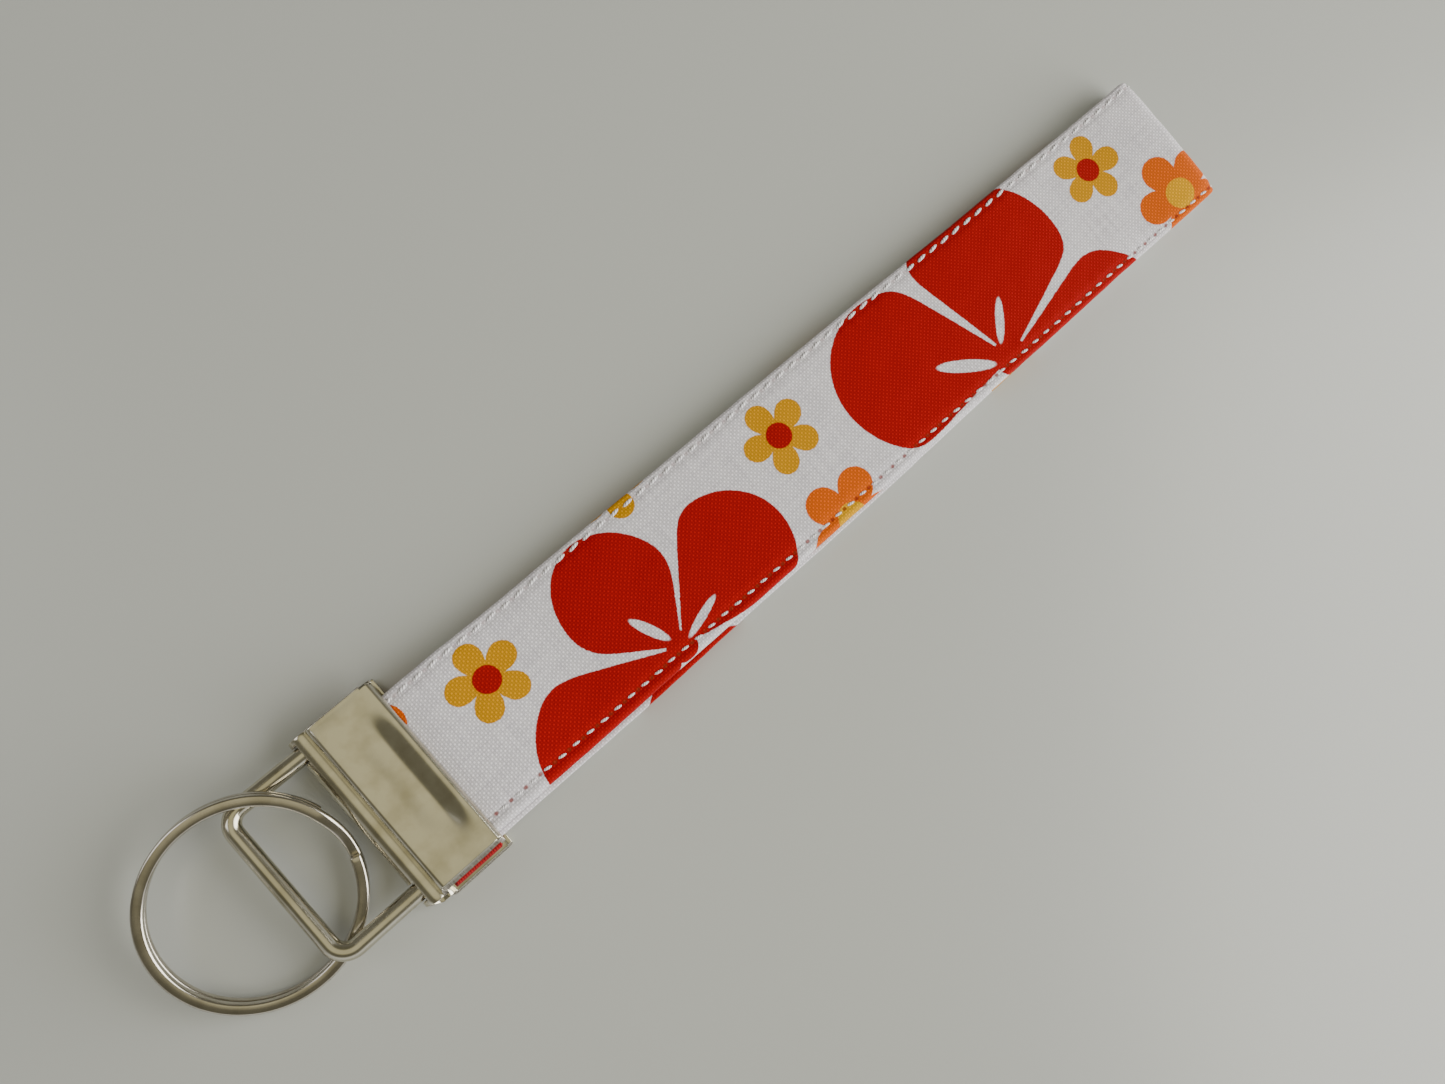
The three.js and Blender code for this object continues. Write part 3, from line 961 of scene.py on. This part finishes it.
@dataclass
class Bail:
    """A round wire bent into a rectangle, whose ends turn in the clamp's barrel. Millimetres."""

    wire: float = 2.85
    width: float = 26.6
    length: float = 15.3
    corner: float = 2.8
    elbow: float = 1.5
    stub_gap: float = 2.0
    lift: float = math.radians(6.5)
    sides: int = 28
    finish: PlatedNickel = PlatedNickel(
        "nickel_plated_drawn_wire", colour="cfcab9", roughness=0.12, line_pitch=0.32, line_depth=0.012)

    def build(self) -> bpy.types.Object:
        """Bends the wire and lifts it to where it lies on the ring.

        Returns:
            The finished bail.
        """
        bm = bmesh.new()
        start = Vector((0, -self.stub_gap / 2, 0))
        bmesh.ops.create_circle(bm, cap_ends=False, radius=self.wire / 2, segments=self.sides,
                                matrix=Matrix.Translation(start) @ Matrix.Rotation(math.pi / 2, 4, "X"))
        first = list(bm.edges)
        jig = BendingJig(bm, first, at=start, right=Vector((1, 0, 0)), up=Vector((0, 1, 0)),
                         heading=-math.pi / 2)
        stub = (self.width - self.stub_gap) / 2 - self.elbow
        leg = self.length - self.elbow - self.corner
        quarter = -math.pi / 2
        jig.run(stub)
        jig.bend(self.elbow, quarter, 10)
        jig.run(leg, 2)
        jig.bend(self.corner, quarter, 12)
        jig.run(self.width - 2 * self.corner, 3)
        jig.bend(self.corner, quarter, 12)
        jig.run(leg, 2)
        jig.bend(self.elbow, quarter, 10)
        jig.run(stub)
        jig.cap(jig.front)
        jig.cap([edge for edge in bm.edges if edge.is_boundary])
        bmesh.ops.recalc_face_normals(bm, faces=bm.faces)
        bmesh.ops.rotate(bm, cent=Vector(), matrix=Matrix.Rotation(self.lift, 3, "Y"), verts=bm.verts)
        return finish_piece(bm, "wire_bail", JOINTS["bail_swing"], [self.finish.material()])

    def dress(self, piece: bpy.types.Object) -> None:
        """Lets the piece stand for the CAD bail."""
        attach(piece, "bail")
        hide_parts("bail")


@dataclass
class SplitRing:
    """Flat wire wound twice, with one step between its turns. Millimetres."""

    radius: float = 15.9
    band: float = 1.75
    turn: float = 1.35
    slit: float = 0.1
    step: float = math.radians(32)
    step_at: float = math.radians(-1)
    tilt: float = math.radians(13.5)
    edge_radius: float = 0.42
    finish: PlatedNickel = PlatedNickel(
        "nickel_plated_spring_steel", colour="c6c0b4", tarnish="98917f", roughness=0.13, line_pitch=0.3,
        line_depth=0.008)

    def build(self) -> bpy.types.Object:
        """Winds the wire from the lower turn, up the step, to the upper turn.

        Returns:
            The finished ring.
        """
        bm = bmesh.new()
        middle = self.radius - self.band / 2
        rise = self.turn + self.slit
        heading = self.step_at + self.step / 2
        stand = Matrix.Rotation(heading, 4, "Z")
        start = stand @ Vector((middle, 0, -rise / 2))
        section = bmesh.ops.create_grid(bm, x_segments=1, y_segments=1, size=0.5)
        bmesh.ops.scale(bm, vec=Vector((self.band, self.turn, 1)), verts=section["verts"])
        bmesh.ops.bevel(bm, geom=bm.verts, offset=self.edge_radius, offset_type="OFFSET",
                        affect="VERTICES", segments=4, profile=0.5, material=-1)
        bmesh.ops.delete(bm, geom=bm.faces, context="FACES_ONLY")
        bmesh.ops.transform(bm, verts=bm.verts,
                            matrix=Matrix.Translation(start) @ stand @ Matrix.Rotation(math.pi / 2, 4, "X"))
        jig = BendingJig(bm, list(bm.edges), at=start, right=Vector((1, 0, 0)), up=Vector((0, 1, 0)),
                         heading=heading + math.pi / 2)
        level = 2 * math.pi - self.step
        steps = 14
        climb = [smoothstep(i, 0, steps) * rise for i in range(steps + 1)]
        jig.bend(middle, level, 104)
        jig.bend(middle, self.step, steps, rises=[b - a for a, b in zip(climb, climb[1:])])
        jig.bend(middle, level, 104)
        jig.cap(jig.front)
        jig.cap([edge for edge in bm.edges if edge.is_boundary])
        bmesh.ops.recalc_face_normals(bm, faces=bm.faces)
        bmesh.ops.rotate(bm, cent=Vector(), matrix=Matrix.Rotation(self.tilt, 3, "X"), verts=bm.verts)
        return finish_piece(bm, "wound_split_ring", JOINTS["ring_flip"], [self.finish.material()])

    def dress(self, piece: bpy.types.Object) -> None:
        """Lets the piece stand for the CAD ring."""
        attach(piece, "ring")
        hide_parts("split_ring")


# Strap


@dataclass(frozen=True)
class StrapRoute:
    """Where the middle of a leg runs: out of the clamp, round the fold and back below. Millimetres."""

    leg: float = 2.2
    spacing: float = 1.25
    clamped_spacing: float = 1.08
    fold_bulge: float = 0.5
    bulge_length: float = 16.0
    clamp_depth: float = 10.0
    pivot_x: float = 1.6
    settle_length: float = 24.0
    fold_x: float = (STRAP_HIGH.x - CLAMP_HIGH.x) / MM

    @property
    def fold_radius(self) -> float:
        """Radius of the fold at the leg's middle."""
        return self.spacing + self.fold_bulge

    @property
    def fold_length(self) -> float:
        """Length of the fold at the leg's middle."""
        return math.pi * self.fold_radius

    @property
    def bend_start(self) -> float:
        """Where the upper leg ends and the fold begins."""
        return self.fold_x - self.fold_radius - self.leg / 2

    @property
    def end(self) -> float:
        """The length at which the lower leg ends inside the clamp."""
        return 2 * self.bend_start + self.fold_length + self.clamp_depth

    def _levels(self, x: float) -> tuple[float, float]:
        """Height of the strap's middle, and how far a leg's middle lies from it.

        Args:
            x: The distance from the clamp's mouth.

        Returns:
            The height and the distance.
        """
        bulge = self.fold_bulge * smoothstep(x, self.bend_start - self.bulge_length, self.bend_start)
        settled = smoothstep(x, self.pivot_x, self.pivot_x + self.settle_length)
        lying = self.spacing + self.leg / 2
        height = CLAMP_MIDDLE + (lying - CLAMP_MIDDLE) * settled + bulge
        squeezed = self.clamped_spacing + (self.spacing - self.clamped_spacing) * smoothstep(x, -1.0, 3.0)
        return height, squeezed + bulge

    def at(self, length: float) -> tuple[Vector, Vector]:
        """A point on the leg's middle and the direction out of the strap there.

        Args:
            length: The length from the mouth, negative inside the clamp.

        Returns:
            The point and the unit vector.
        """
        past = length - self.bend_start
        if 0 < past < self.fold_length:
            angle = past / self.fold_radius
            out = Vector((math.sin(angle), 0, math.cos(angle)))
            height, _ = self._levels(self.bend_start)
            return Vector((self.bend_start, 0, height)) + out * self.fold_radius, out
        side = 1 if past <= 0 else -1
        x = length if past <= 0 else 2 * self.bend_start + self.fold_length - length
        levels = [self._levels(x + nudge) for nudge in (-0.1, 0.0, 0.1)]
        before, here, after = (height + side * distance for height, distance in levels)
        out = Vector((-(after - before) / 0.2, 0, 1)).normalized() * side
        return Vector((x, 0, here)), out


@dataclass
class Strap:
    """Printed cover, core and lining, sewn along both edges and folded in half. Millimetres."""

    route: StrapRoute = StrapRoute()
    width: float = (STRAP_HIGH.y - STRAP_LOW.y) / MM
    edge_radius: float = 1.0
    turn_radius: float = 0.45
    turn_in: float = 0.6
    cloth: float = 0.34
    left_seam: float = 12.2
    right_seam: tuple[float, float] = (11.2, 12.4)
    stitch_pitch: float = 2.8
    left_thread: tuple[float, float] = (0.3, 2.35)
    right_thread: tuple[float, float] = (0.23, 1.65)
    stitch_sink: float = 0.36
    crown: float = 0.16
    sway_height: float = 0.07
    wander: float = 0.22
    ripple: float = 0.06
    lower_shift: float = 0.9
    fold_skew: float = 0.045
    fold_taper: float = 0.035
    core_thickness: float = 0.8
    lining_width: float = 25.6
    leg_rows: int = 285
    fold_rows: int = 32
    blend_from: float = 0.3
    blend_to: float = 16.0

    def seam(self, side: Side, along: float) -> float:
        """Distance of a stitch row from the strap's centre line.

        Args:
            side: The edge that the row follows.
            along: The length from the mouth.

        Returns:
            The distance, which grows along the right edge because that row runs slightly aslant.
        """
        if side is Side.LEFT:
            return self.left_seam
        near, far = self.right_seam
        from_mouth = min(along, self.length - 2 * self.route.clamp_depth - along)
        return near + (far - near) * min(max(from_mouth / self.route.bend_start, 0.0), 1.0)

    @property
    def cover_width(self) -> float:
        """Width of the cover, flat, from one turned-in edge to the other."""
        flat = self.width / 2 - self.edge_radius
        wall = self.route.leg - self.edge_radius - self.turn_radius
        return 2 * (flat + wall + math.pi / 2 * (self.edge_radius + self.turn_radius) + self.turn_in)

    @property
    def length(self) -> float:
        """Length of the strap, flat, from one clamped end to the other."""
        return self.route.end + self.route.clamp_depth

    def _section(self, across: float) -> Vector:
        """A point of the cover's cross-section.

        Args:
            across: The distance over the cloth from its centre line.

        Returns:
            The point's Y and its height from the leg's middle, as the vector's Y and Z.
        """
        half, top = self.width / 2, self.route.leg / 2
        side, left = math.copysign(1, across), abs(across)
        flat = half - self.edge_radius
        if left <= flat:
            return Vector((0, side * left, top))
        left -= flat
        if left <= self.edge_radius * math.pi / 2:
            angle = left / self.edge_radius
            drop = self.edge_radius * (1 - math.cos(angle))
            return Vector((0, side * (flat + self.edge_radius * math.sin(angle)), top - drop))
        left -= self.edge_radius * math.pi / 2
        wall = 2 * top - self.edge_radius - self.turn_radius
        if left <= wall:
            return Vector((0, side * half, top - self.edge_radius - left))
        left -= wall
        if left <= self.turn_radius * math.pi / 2:
            angle = left / self.turn_radius
            back = self.turn_radius * (1 - math.cos(angle))
            return Vector((0, side * (half - back), self.turn_radius * (1 - math.sin(angle)) - top))
        left -= self.turn_radius * math.pi / 2
        return Vector((0, side * (half - self.turn_radius - left), -top))

    def _relief(self, along: float, y: float) -> float:
        """How far the outer face stands above flat: crowned between the seams and pinched along them.

        Args:
            along: The length from the mouth.
            y: The distance from the centre line.

        Returns:
            The height in millimetres.
        """
        seam = self.seam(Side.LEFT if y > 0 else Side.RIGHT, along)
        beside = abs(y) - seam
        back = self.route.end - self.route.clamp_depth - along
        free = smoothstep(along, -0.5, 3) * smoothstep(back, -0.5, 3)
        crown = self.crown * (1 - min(abs(y) / seam, 1.0) ** 2)
        pinch = math.exp(-((beside / 0.6) ** 2))
        phase = 2 * math.pi * along / self.stitch_pitch
        hole = 0.5 + 0.5 * math.cos(phase + math.pi)
        pucker = 0.05 * math.exp(-((beside / 1.6) ** 2)) * math.cos(phase)
        broad = noise.noise(Vector((along / 7, y / 5, 4.2)))
        sway = broad + 0.5 * noise.noise(Vector((along / 3, y / 2.5, 9.1)))
        sunk = pinch * self.stitch_sink * (0.55 + 0.45 * (1 - hole))
        return free * (crown + pucker + self.sway_height * sway) - sunk

    def _drift(self, along: float) -> float:
        """How far the cloth lies to the left of straight, in millimetres.

        Both legs wander a little, and the lower one also sticks out to the right near the clamp.
        """
        back = self.route.end - self.route.clamp_depth - along
        free = smoothstep(along, 0, 12) * smoothstep(back, 0, 12)
        fold = self.route.bend_start
        lower = smoothstep(along, fold, fold + self.route.fold_length)
        shift = lower * self.lower_shift * (1 - smoothstep(back, 30, 150))
        wander = self.wander * noise.noise(Vector((along / 23, 1.7, 0)))
        ripple = self.ripple * noise.noise(Vector((along / 4, 6, 2)))
        return free * (wander + ripple) - shift

    def _lay(self, along: float, offset: Vector) -> Vector:
        """Places a point of the cross-section on the route.

        Args:
            along: The length from the mouth.
            offset: The point's Y and its height from the leg's middle.

        Returns:
            The point in millimetres.
        """
        middle, out = self.route.at(along)
        y = offset.y * (1 - self.fold_taper * smoothstep(middle.x, 60, self.route.fold_x))
        skew = self.fold_skew * y * smoothstep(middle.x, 120, self.route.fold_x)
        return middle + Vector((skew, y + self._drift(along), 0)) + out * offset.z

    def _station(self, share: float) -> float:
        """The length from the mouth of a row of the grid, closer together round the fold.

        Args:
            share: The row's place in the grid, from 0 to 1.

        Returns:
            The length in millimetres.
        """
        row = share * (2 * self.leg_rows + self.fold_rows)
        leg = self.route.bend_start + self.route.clamp_depth
        if row <= self.leg_rows:
            return -self.route.clamp_depth + leg * row / self.leg_rows
        if row <= self.leg_rows + self.fold_rows:
            return self.route.bend_start + self.route.fold_length * (row - self.leg_rows) / self.fold_rows
        return self.route.end - leg * (1 - (row - self.leg_rows - self.fold_rows) / self.leg_rows)

    def _cloth(
        self, columns: int, width: float, crowd: float, shape: Callable[[float, float], Vector]
    ) -> bmesh.types.BMesh:
        """Lays a strip of cloth along the route, with its map in millimetres.

        Args:
            columns: How many faces it is wide.
            width: Its flat width.
            crowd: How much closer the columns are at its edges, from 0 to below 0.5.
            shape: Gives the cross-section's point for a length and a distance across.

        Returns:
            The strip, with its faces pointing out of the strap.
        """
        bm = bmesh.new()
        bmesh.ops.create_grid(bm, x_segments=2 * self.leg_rows + self.fold_rows, y_segments=columns, size=1)
        layer = bm.loops.layers.uv.new(CLOTH_MAP)
        places = {}
        for vert in bm.verts:
            side = vert.co.y * (1 + crowd * (1 - vert.co.y ** 2))
            places[vert] = (self._station((vert.co.x + 1) / 2), side * width / 2)
        for face in bm.faces:
            for loop in face.loops:
                loop[layer].uv = places[loop.vert]
        for vert, (along, across) in places.items():
            vert.co = self._lay(along, shape(along, across))
        bm.normal_update()
        bm.faces.ensure_lookup_table()
        probe = min(bm.faces, key=lambda face: (face.calc_center_median() - self._lay(80, Vector())).length)
        if probe.normal.z < 0:
            bmesh.ops.reverse_faces(bm, faces=bm.faces)
        return bm

    def _thicken(self, piece: bpy.types.Object, thickness: float) -> None:
        """Gives a strip of cloth its thickness, inwards from its face."""
        wall = piece.modifiers.new("cloth_thickness", "SOLIDIFY")
        wall.thickness = thickness * MM
        wall.offset = -1

    def build_cover(self) -> bpy.types.Object:
        """Lays the printed cover over the core and turns it in over both edges.

        Returns:
            The finished cover.
        """
        def shape(along: float, across: float) -> Vector:
            point = self._section(across)
            top = smoothstep(point.z, 0.2, self.route.leg / 2)
            return point + Vector((0, 0, top * self._relief(along, point.y)))

        bm = self._cloth(60, self.cover_width, 0.36, shape)
        piece = finish_piece(bm, "printed_cover", STRAP_MOUTH, [PrintedCotton().material(self)])
        self._thicken(piece, self.cloth)
        return piece

    def build_core(self) -> bpy.types.Object:
        """Lays the stiff core between cover and lining.

        Returns:
            The finished core.
        """
        top = self.route.leg / 2 - 0.65

        def shape(_along: float, across: float) -> Vector:
            return Vector((0, across, top))

        bm = self._cloth(20, self.lining_width - 0.4, 0.0, shape)
        finish = WovenCloth("undyed_woven_interfacing", colour="e4e0d6", gap_shade="bdb8ab", yarn=0.9)
        piece = finish_piece(bm, "woven_core", STRAP_MOUTH, [finish.material()])
        self._thicken(piece, self.core_thickness)
        return piece

    def build_lining(self) -> bpy.types.Object:
        """Lays the red lining on the inner face, spreading out where the clamp presses it.

        Returns:
            The finished lining.
        """
        def shape(along: float, across: float) -> Vector:
            from_mouth = min(along, self.route.end - self.route.clamp_depth - along)
            clamped = 1 - smoothstep(from_mouth, -1.3, 0.1)
            edge = smoothstep(abs(across), self.lining_width / 2 - 2.0, self.lining_width / 2)
            pushed = clamped * edge * (1.9 if across < 0 else 0.5)
            floor = -self.route.leg / 2
            return Vector((0, across + math.copysign(pushed, across), floor + 0.34 + 0.1 * clamped * edge))

        bm = self._cloth(44, self.lining_width, 0.3, shape)
        finish = WovenCloth("red_dyed_cotton_lining", colour="b5141a", gap_shade="6e0a0e", yarn=0.44)
        piece = finish_piece(bm, "cotton_lining", STRAP_MOUTH, [finish.material()])
        self._thicken(piece, -self.cloth)
        return piece

    def build_stitches(self, side: Side, face: Face, finish: SewingThread) -> bpy.types.Object:
        """Sews one row of lockstitch along an edge.

        Args:
            side: The edge that the row follows.
            face: The face that the thread shows on.
            finish: The thread.

        Returns:
            The finished row.
        """
        bm = bmesh.new()
        bm.loops.layers.uv.new(CLOTH_MAP)
        thick, dash = self.left_thread if side is Side.LEFT else self.right_thread
        count = int(self.length / self.stitch_pitch) - 1
        first = math.ceil(-self.route.clamp_depth / self.stitch_pitch)
        for number in range(first, first + count):
            along = number * self.stitch_pitch + self.stitch_pitch
            wander = noise.noise(Vector((along / 5, side.value * 3, face.value)))
            y = side.value * (self.seam(side, along) + 0.12 * wander)
            if face is Face.OUTER:
                height = self.route.leg / 2 + self._relief(along, y) + thick * 0.55
            else:
                height = -self.route.leg / 2 + 0.02
            self._stitch(bm, along, Vector((0, y, height)), dash * (1 + 0.12 * wander), thick, face,
                         slant=math.radians(9 + 5 * wander) * side.value)
        bmesh.ops.recalc_face_normals(bm, faces=bm.faces)
        name = f"{'needle' if face is Face.OUTER else 'bobbin'}_stitches_{side.name.lower()}"
        return finish_piece(bm, name, STRAP_MOUTH, [finish.material()])

    def _stitch(
        self, bm: bmesh.types.BMesh, along: float, offset: Vector, dash: float, thick: float,
        face: Face, slant: float
    ) -> None:
        """Lays one stitch, whose ends dip into the cloth.

        Args:
            bm: The row to add to.
            along: The length from the mouth of the stitch's middle.
            offset: The middle's Y and height from the leg's middle.
            dash: The length that shows.
            thick: Half the thread's width.
            face: The face that it lies on.
            slant: The angle from the seam in radians.
        """
        middle = self._lay(along, offset)
        ahead = (self._lay(along + 0.3, offset) - self._lay(along - 0.3, offset)).normalized()
        out = self.route.at(along)[1] * face.value
        beside = out.cross(ahead)
        ahead = (ahead * math.cos(slant) + beside * math.sin(slant)).normalized()
        beside = out.cross(ahead)
        axes = Matrix((beside * thick, out * thick * 0.85, ahead * dash / 2)).transposed().to_4x4()
        made = bmesh.ops.create_uvsphere(bm, u_segments=8, v_segments=6, radius=1, calc_uvs=True,
                                         matrix=Matrix.Translation(middle) @ axes)["verts"]
        for vert in made:
            share = (vert.co - middle).dot(ahead) / (dash / 2)
            vert.co -= out * thick * 0.9 * share ** 2

    def dress(self, piece: bpy.types.Object, slot: str, *nodes: str) -> None:
        """Bakes a piece's place into its mesh, and lets it stand for its CAD nodes.

        Args:
            piece: The finished piece.
            slot: The record's material slot; not used.
            *nodes: The CAD nodes that it replaces.
        """
        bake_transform(piece)
        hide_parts(*nodes)


@dataclass(frozen=True)
class SoftBox:
    """A square soft light, by its offset from the fob's middle, its side in metres and its watts."""

    name: str
    offset: tuple[float, float, float]
    side: float
    power: float
    colour: str


WINDOW_BOX = SoftBox("window_box", (0.48, -0.46, 0.36), side=0.8, power=12.0, colour="fbfaf6")
FILL_BOX = SoftBox("fill_box", (-0.45, 0.5, 0.55), side=0.5, power=1.6, colour="f3f4fa")


@dataclass
class Studio:
    """Camera, floor and soft light. Millimetres from the clamp's mouth and the strap's middle."""

    camera_at: Vector = field(default_factory=lambda: Vector((18.3, -7.8, 175.6)))
    camera_turn: tuple[float, float, float] = (1.72, -12.12, -40.95)
    lens: float = 27.03
    floor_size: float = 3000.0
    bright_wall: str = "f4f5f3"
    dark_wall: str = "77766e"
    cove: str = "6f6c5c"
    ceiling: str = "dcd6b4"
    strength: float = 0.95
    finish: LacqueredTable = LacqueredTable()

    def build_camera(self) -> None:
        """Stands the camera almost straight above the clamp, with the strap running to a far corner."""
        data = bpy.data.cameras.new("camera")
        data.lens = self.lens
        data.sensor_width = 36
        data.clip_start = 0.005
        camera = bpy.data.objects.new("camera", data)
        bpy.context.scene.collection.objects.link(camera)
        about_x, about_y, about_z = (
            Matrix.Rotation(math.radians(angle), 4, axis) for angle, axis in zip(self.camera_turn, "XYZ"))
        camera.matrix_world = (
            Matrix.Translation(STRAP_MOUTH + self.camera_at * MM) @ about_x @ about_y @ about_z)
        bpy.context.scene.camera = camera

    def build_floor(self) -> None:
        """Lays the floor that the fob rests on."""
        bm = bmesh.new()
        bmesh.ops.create_grid(bm, x_segments=1, y_segments=1, size=self.floor_size / 2)
        floor = finish_piece(bm, "floor", Vector((0, 0, -0.00002)), [self.finish.material()])

    def build_light(self) -> None:
        """Hangs two soft boxes, and lights the rest from walls, a dim cove and a paler ceiling."""
        centre = (CAD_BOX[0] + CAD_BOX[1]) / 2
        for box in (WINDOW_BOX, FILL_BOX):
            offset = Vector(box.offset)
            data = bpy.data.lights.new(box.name, "AREA")
            data.size = box.side
            data.energy = box.power
            data.color = linear(box.colour)[:3]
            light = bpy.data.objects.new(box.name, data)
            light.location = centre + offset
            light.rotation_euler = offset.to_track_quat("Z", "Y").to_euler()
            bpy.context.scene.collection.objects.link(light)
        world = bpy.data.worlds.new("studio")
        bpy.context.scene.world = world
        world.use_nodes = True
        tree = world.node_tree
        tree.nodes.clear()
        parts = add(tree, "SeparateXYZ", {0: add(tree, "TexCoord", {})})
        y, z = parts.outputs[1], parts.outputs[2]
        far = add(tree, "MapRange", {0: y, 1: -0.7, 2: 0.5}, interpolation_type="SMOOTHSTEP")
        low = add(tree, "MapRange", {0: z, 1: 0.3, 2: 0.6}, interpolation_type="SMOOTHSTEP")
        high = add(tree, "MapRange", {0: z, 1: 0.84, 2: 0.98}, interpolation_type="SMOOTHSTEP")
        sky = linear(self.bright_wall)
        for share, colour in ((far, self.dark_wall), (low, self.cove), (high, self.ceiling)):
            sky = add(tree, "Mix", {0: share, 6: sky, 7: linear(colour)}, data_type="RGBA").outputs[2]
        light = add(tree, "Background", {"Color": sky, "Strength": self.strength})
        add(tree, "OutputWorld", {"Surface": light})


def main() -> None:
    """Builds the studio, then the fob from its metal parts to its strap."""
    logging.basicConfig(level=logging.INFO, format="%(name)s: %(message)s")
    studio = Studio()
    studio.build_camera()
    studio.build_floor()
    studio.build_light()
    for part in (EndClamp(), Bail(), SplitRing()):
        part.dress(part.build())
    strap = Strap()
    cover = strap.build_cover()
    core = strap.build_core()
    lining = strap.build_lining()
    strap.dress(cover, "printed_cotton", "print_cover", "clamped_strap_end")
    strap.dress(core, "core_webbing", "strap_core")
    strap.dress(lining, "red_cotton", "red_lining")
    white = SewingThread("white_spun_polyester_thread", colour="fbf9fa", groove="8f898d")
    red = SewingThread("red_spun_polyester_thread", colour="a8181a", groove="5c0c0e")
    for side in Side:
        edge = side.name.lower()
        needle = strap.build_stitches(side, Face.OUTER, white)
        bobbin = strap.build_stitches(side, Face.INNER, red)
        strap.dress(needle, "white_thread", f"needle_thread_{edge}")
        strap.dress(bobbin, "red_thread", f"bobbin_thread_{edge}")


if __name__ == "__main__":
    main()
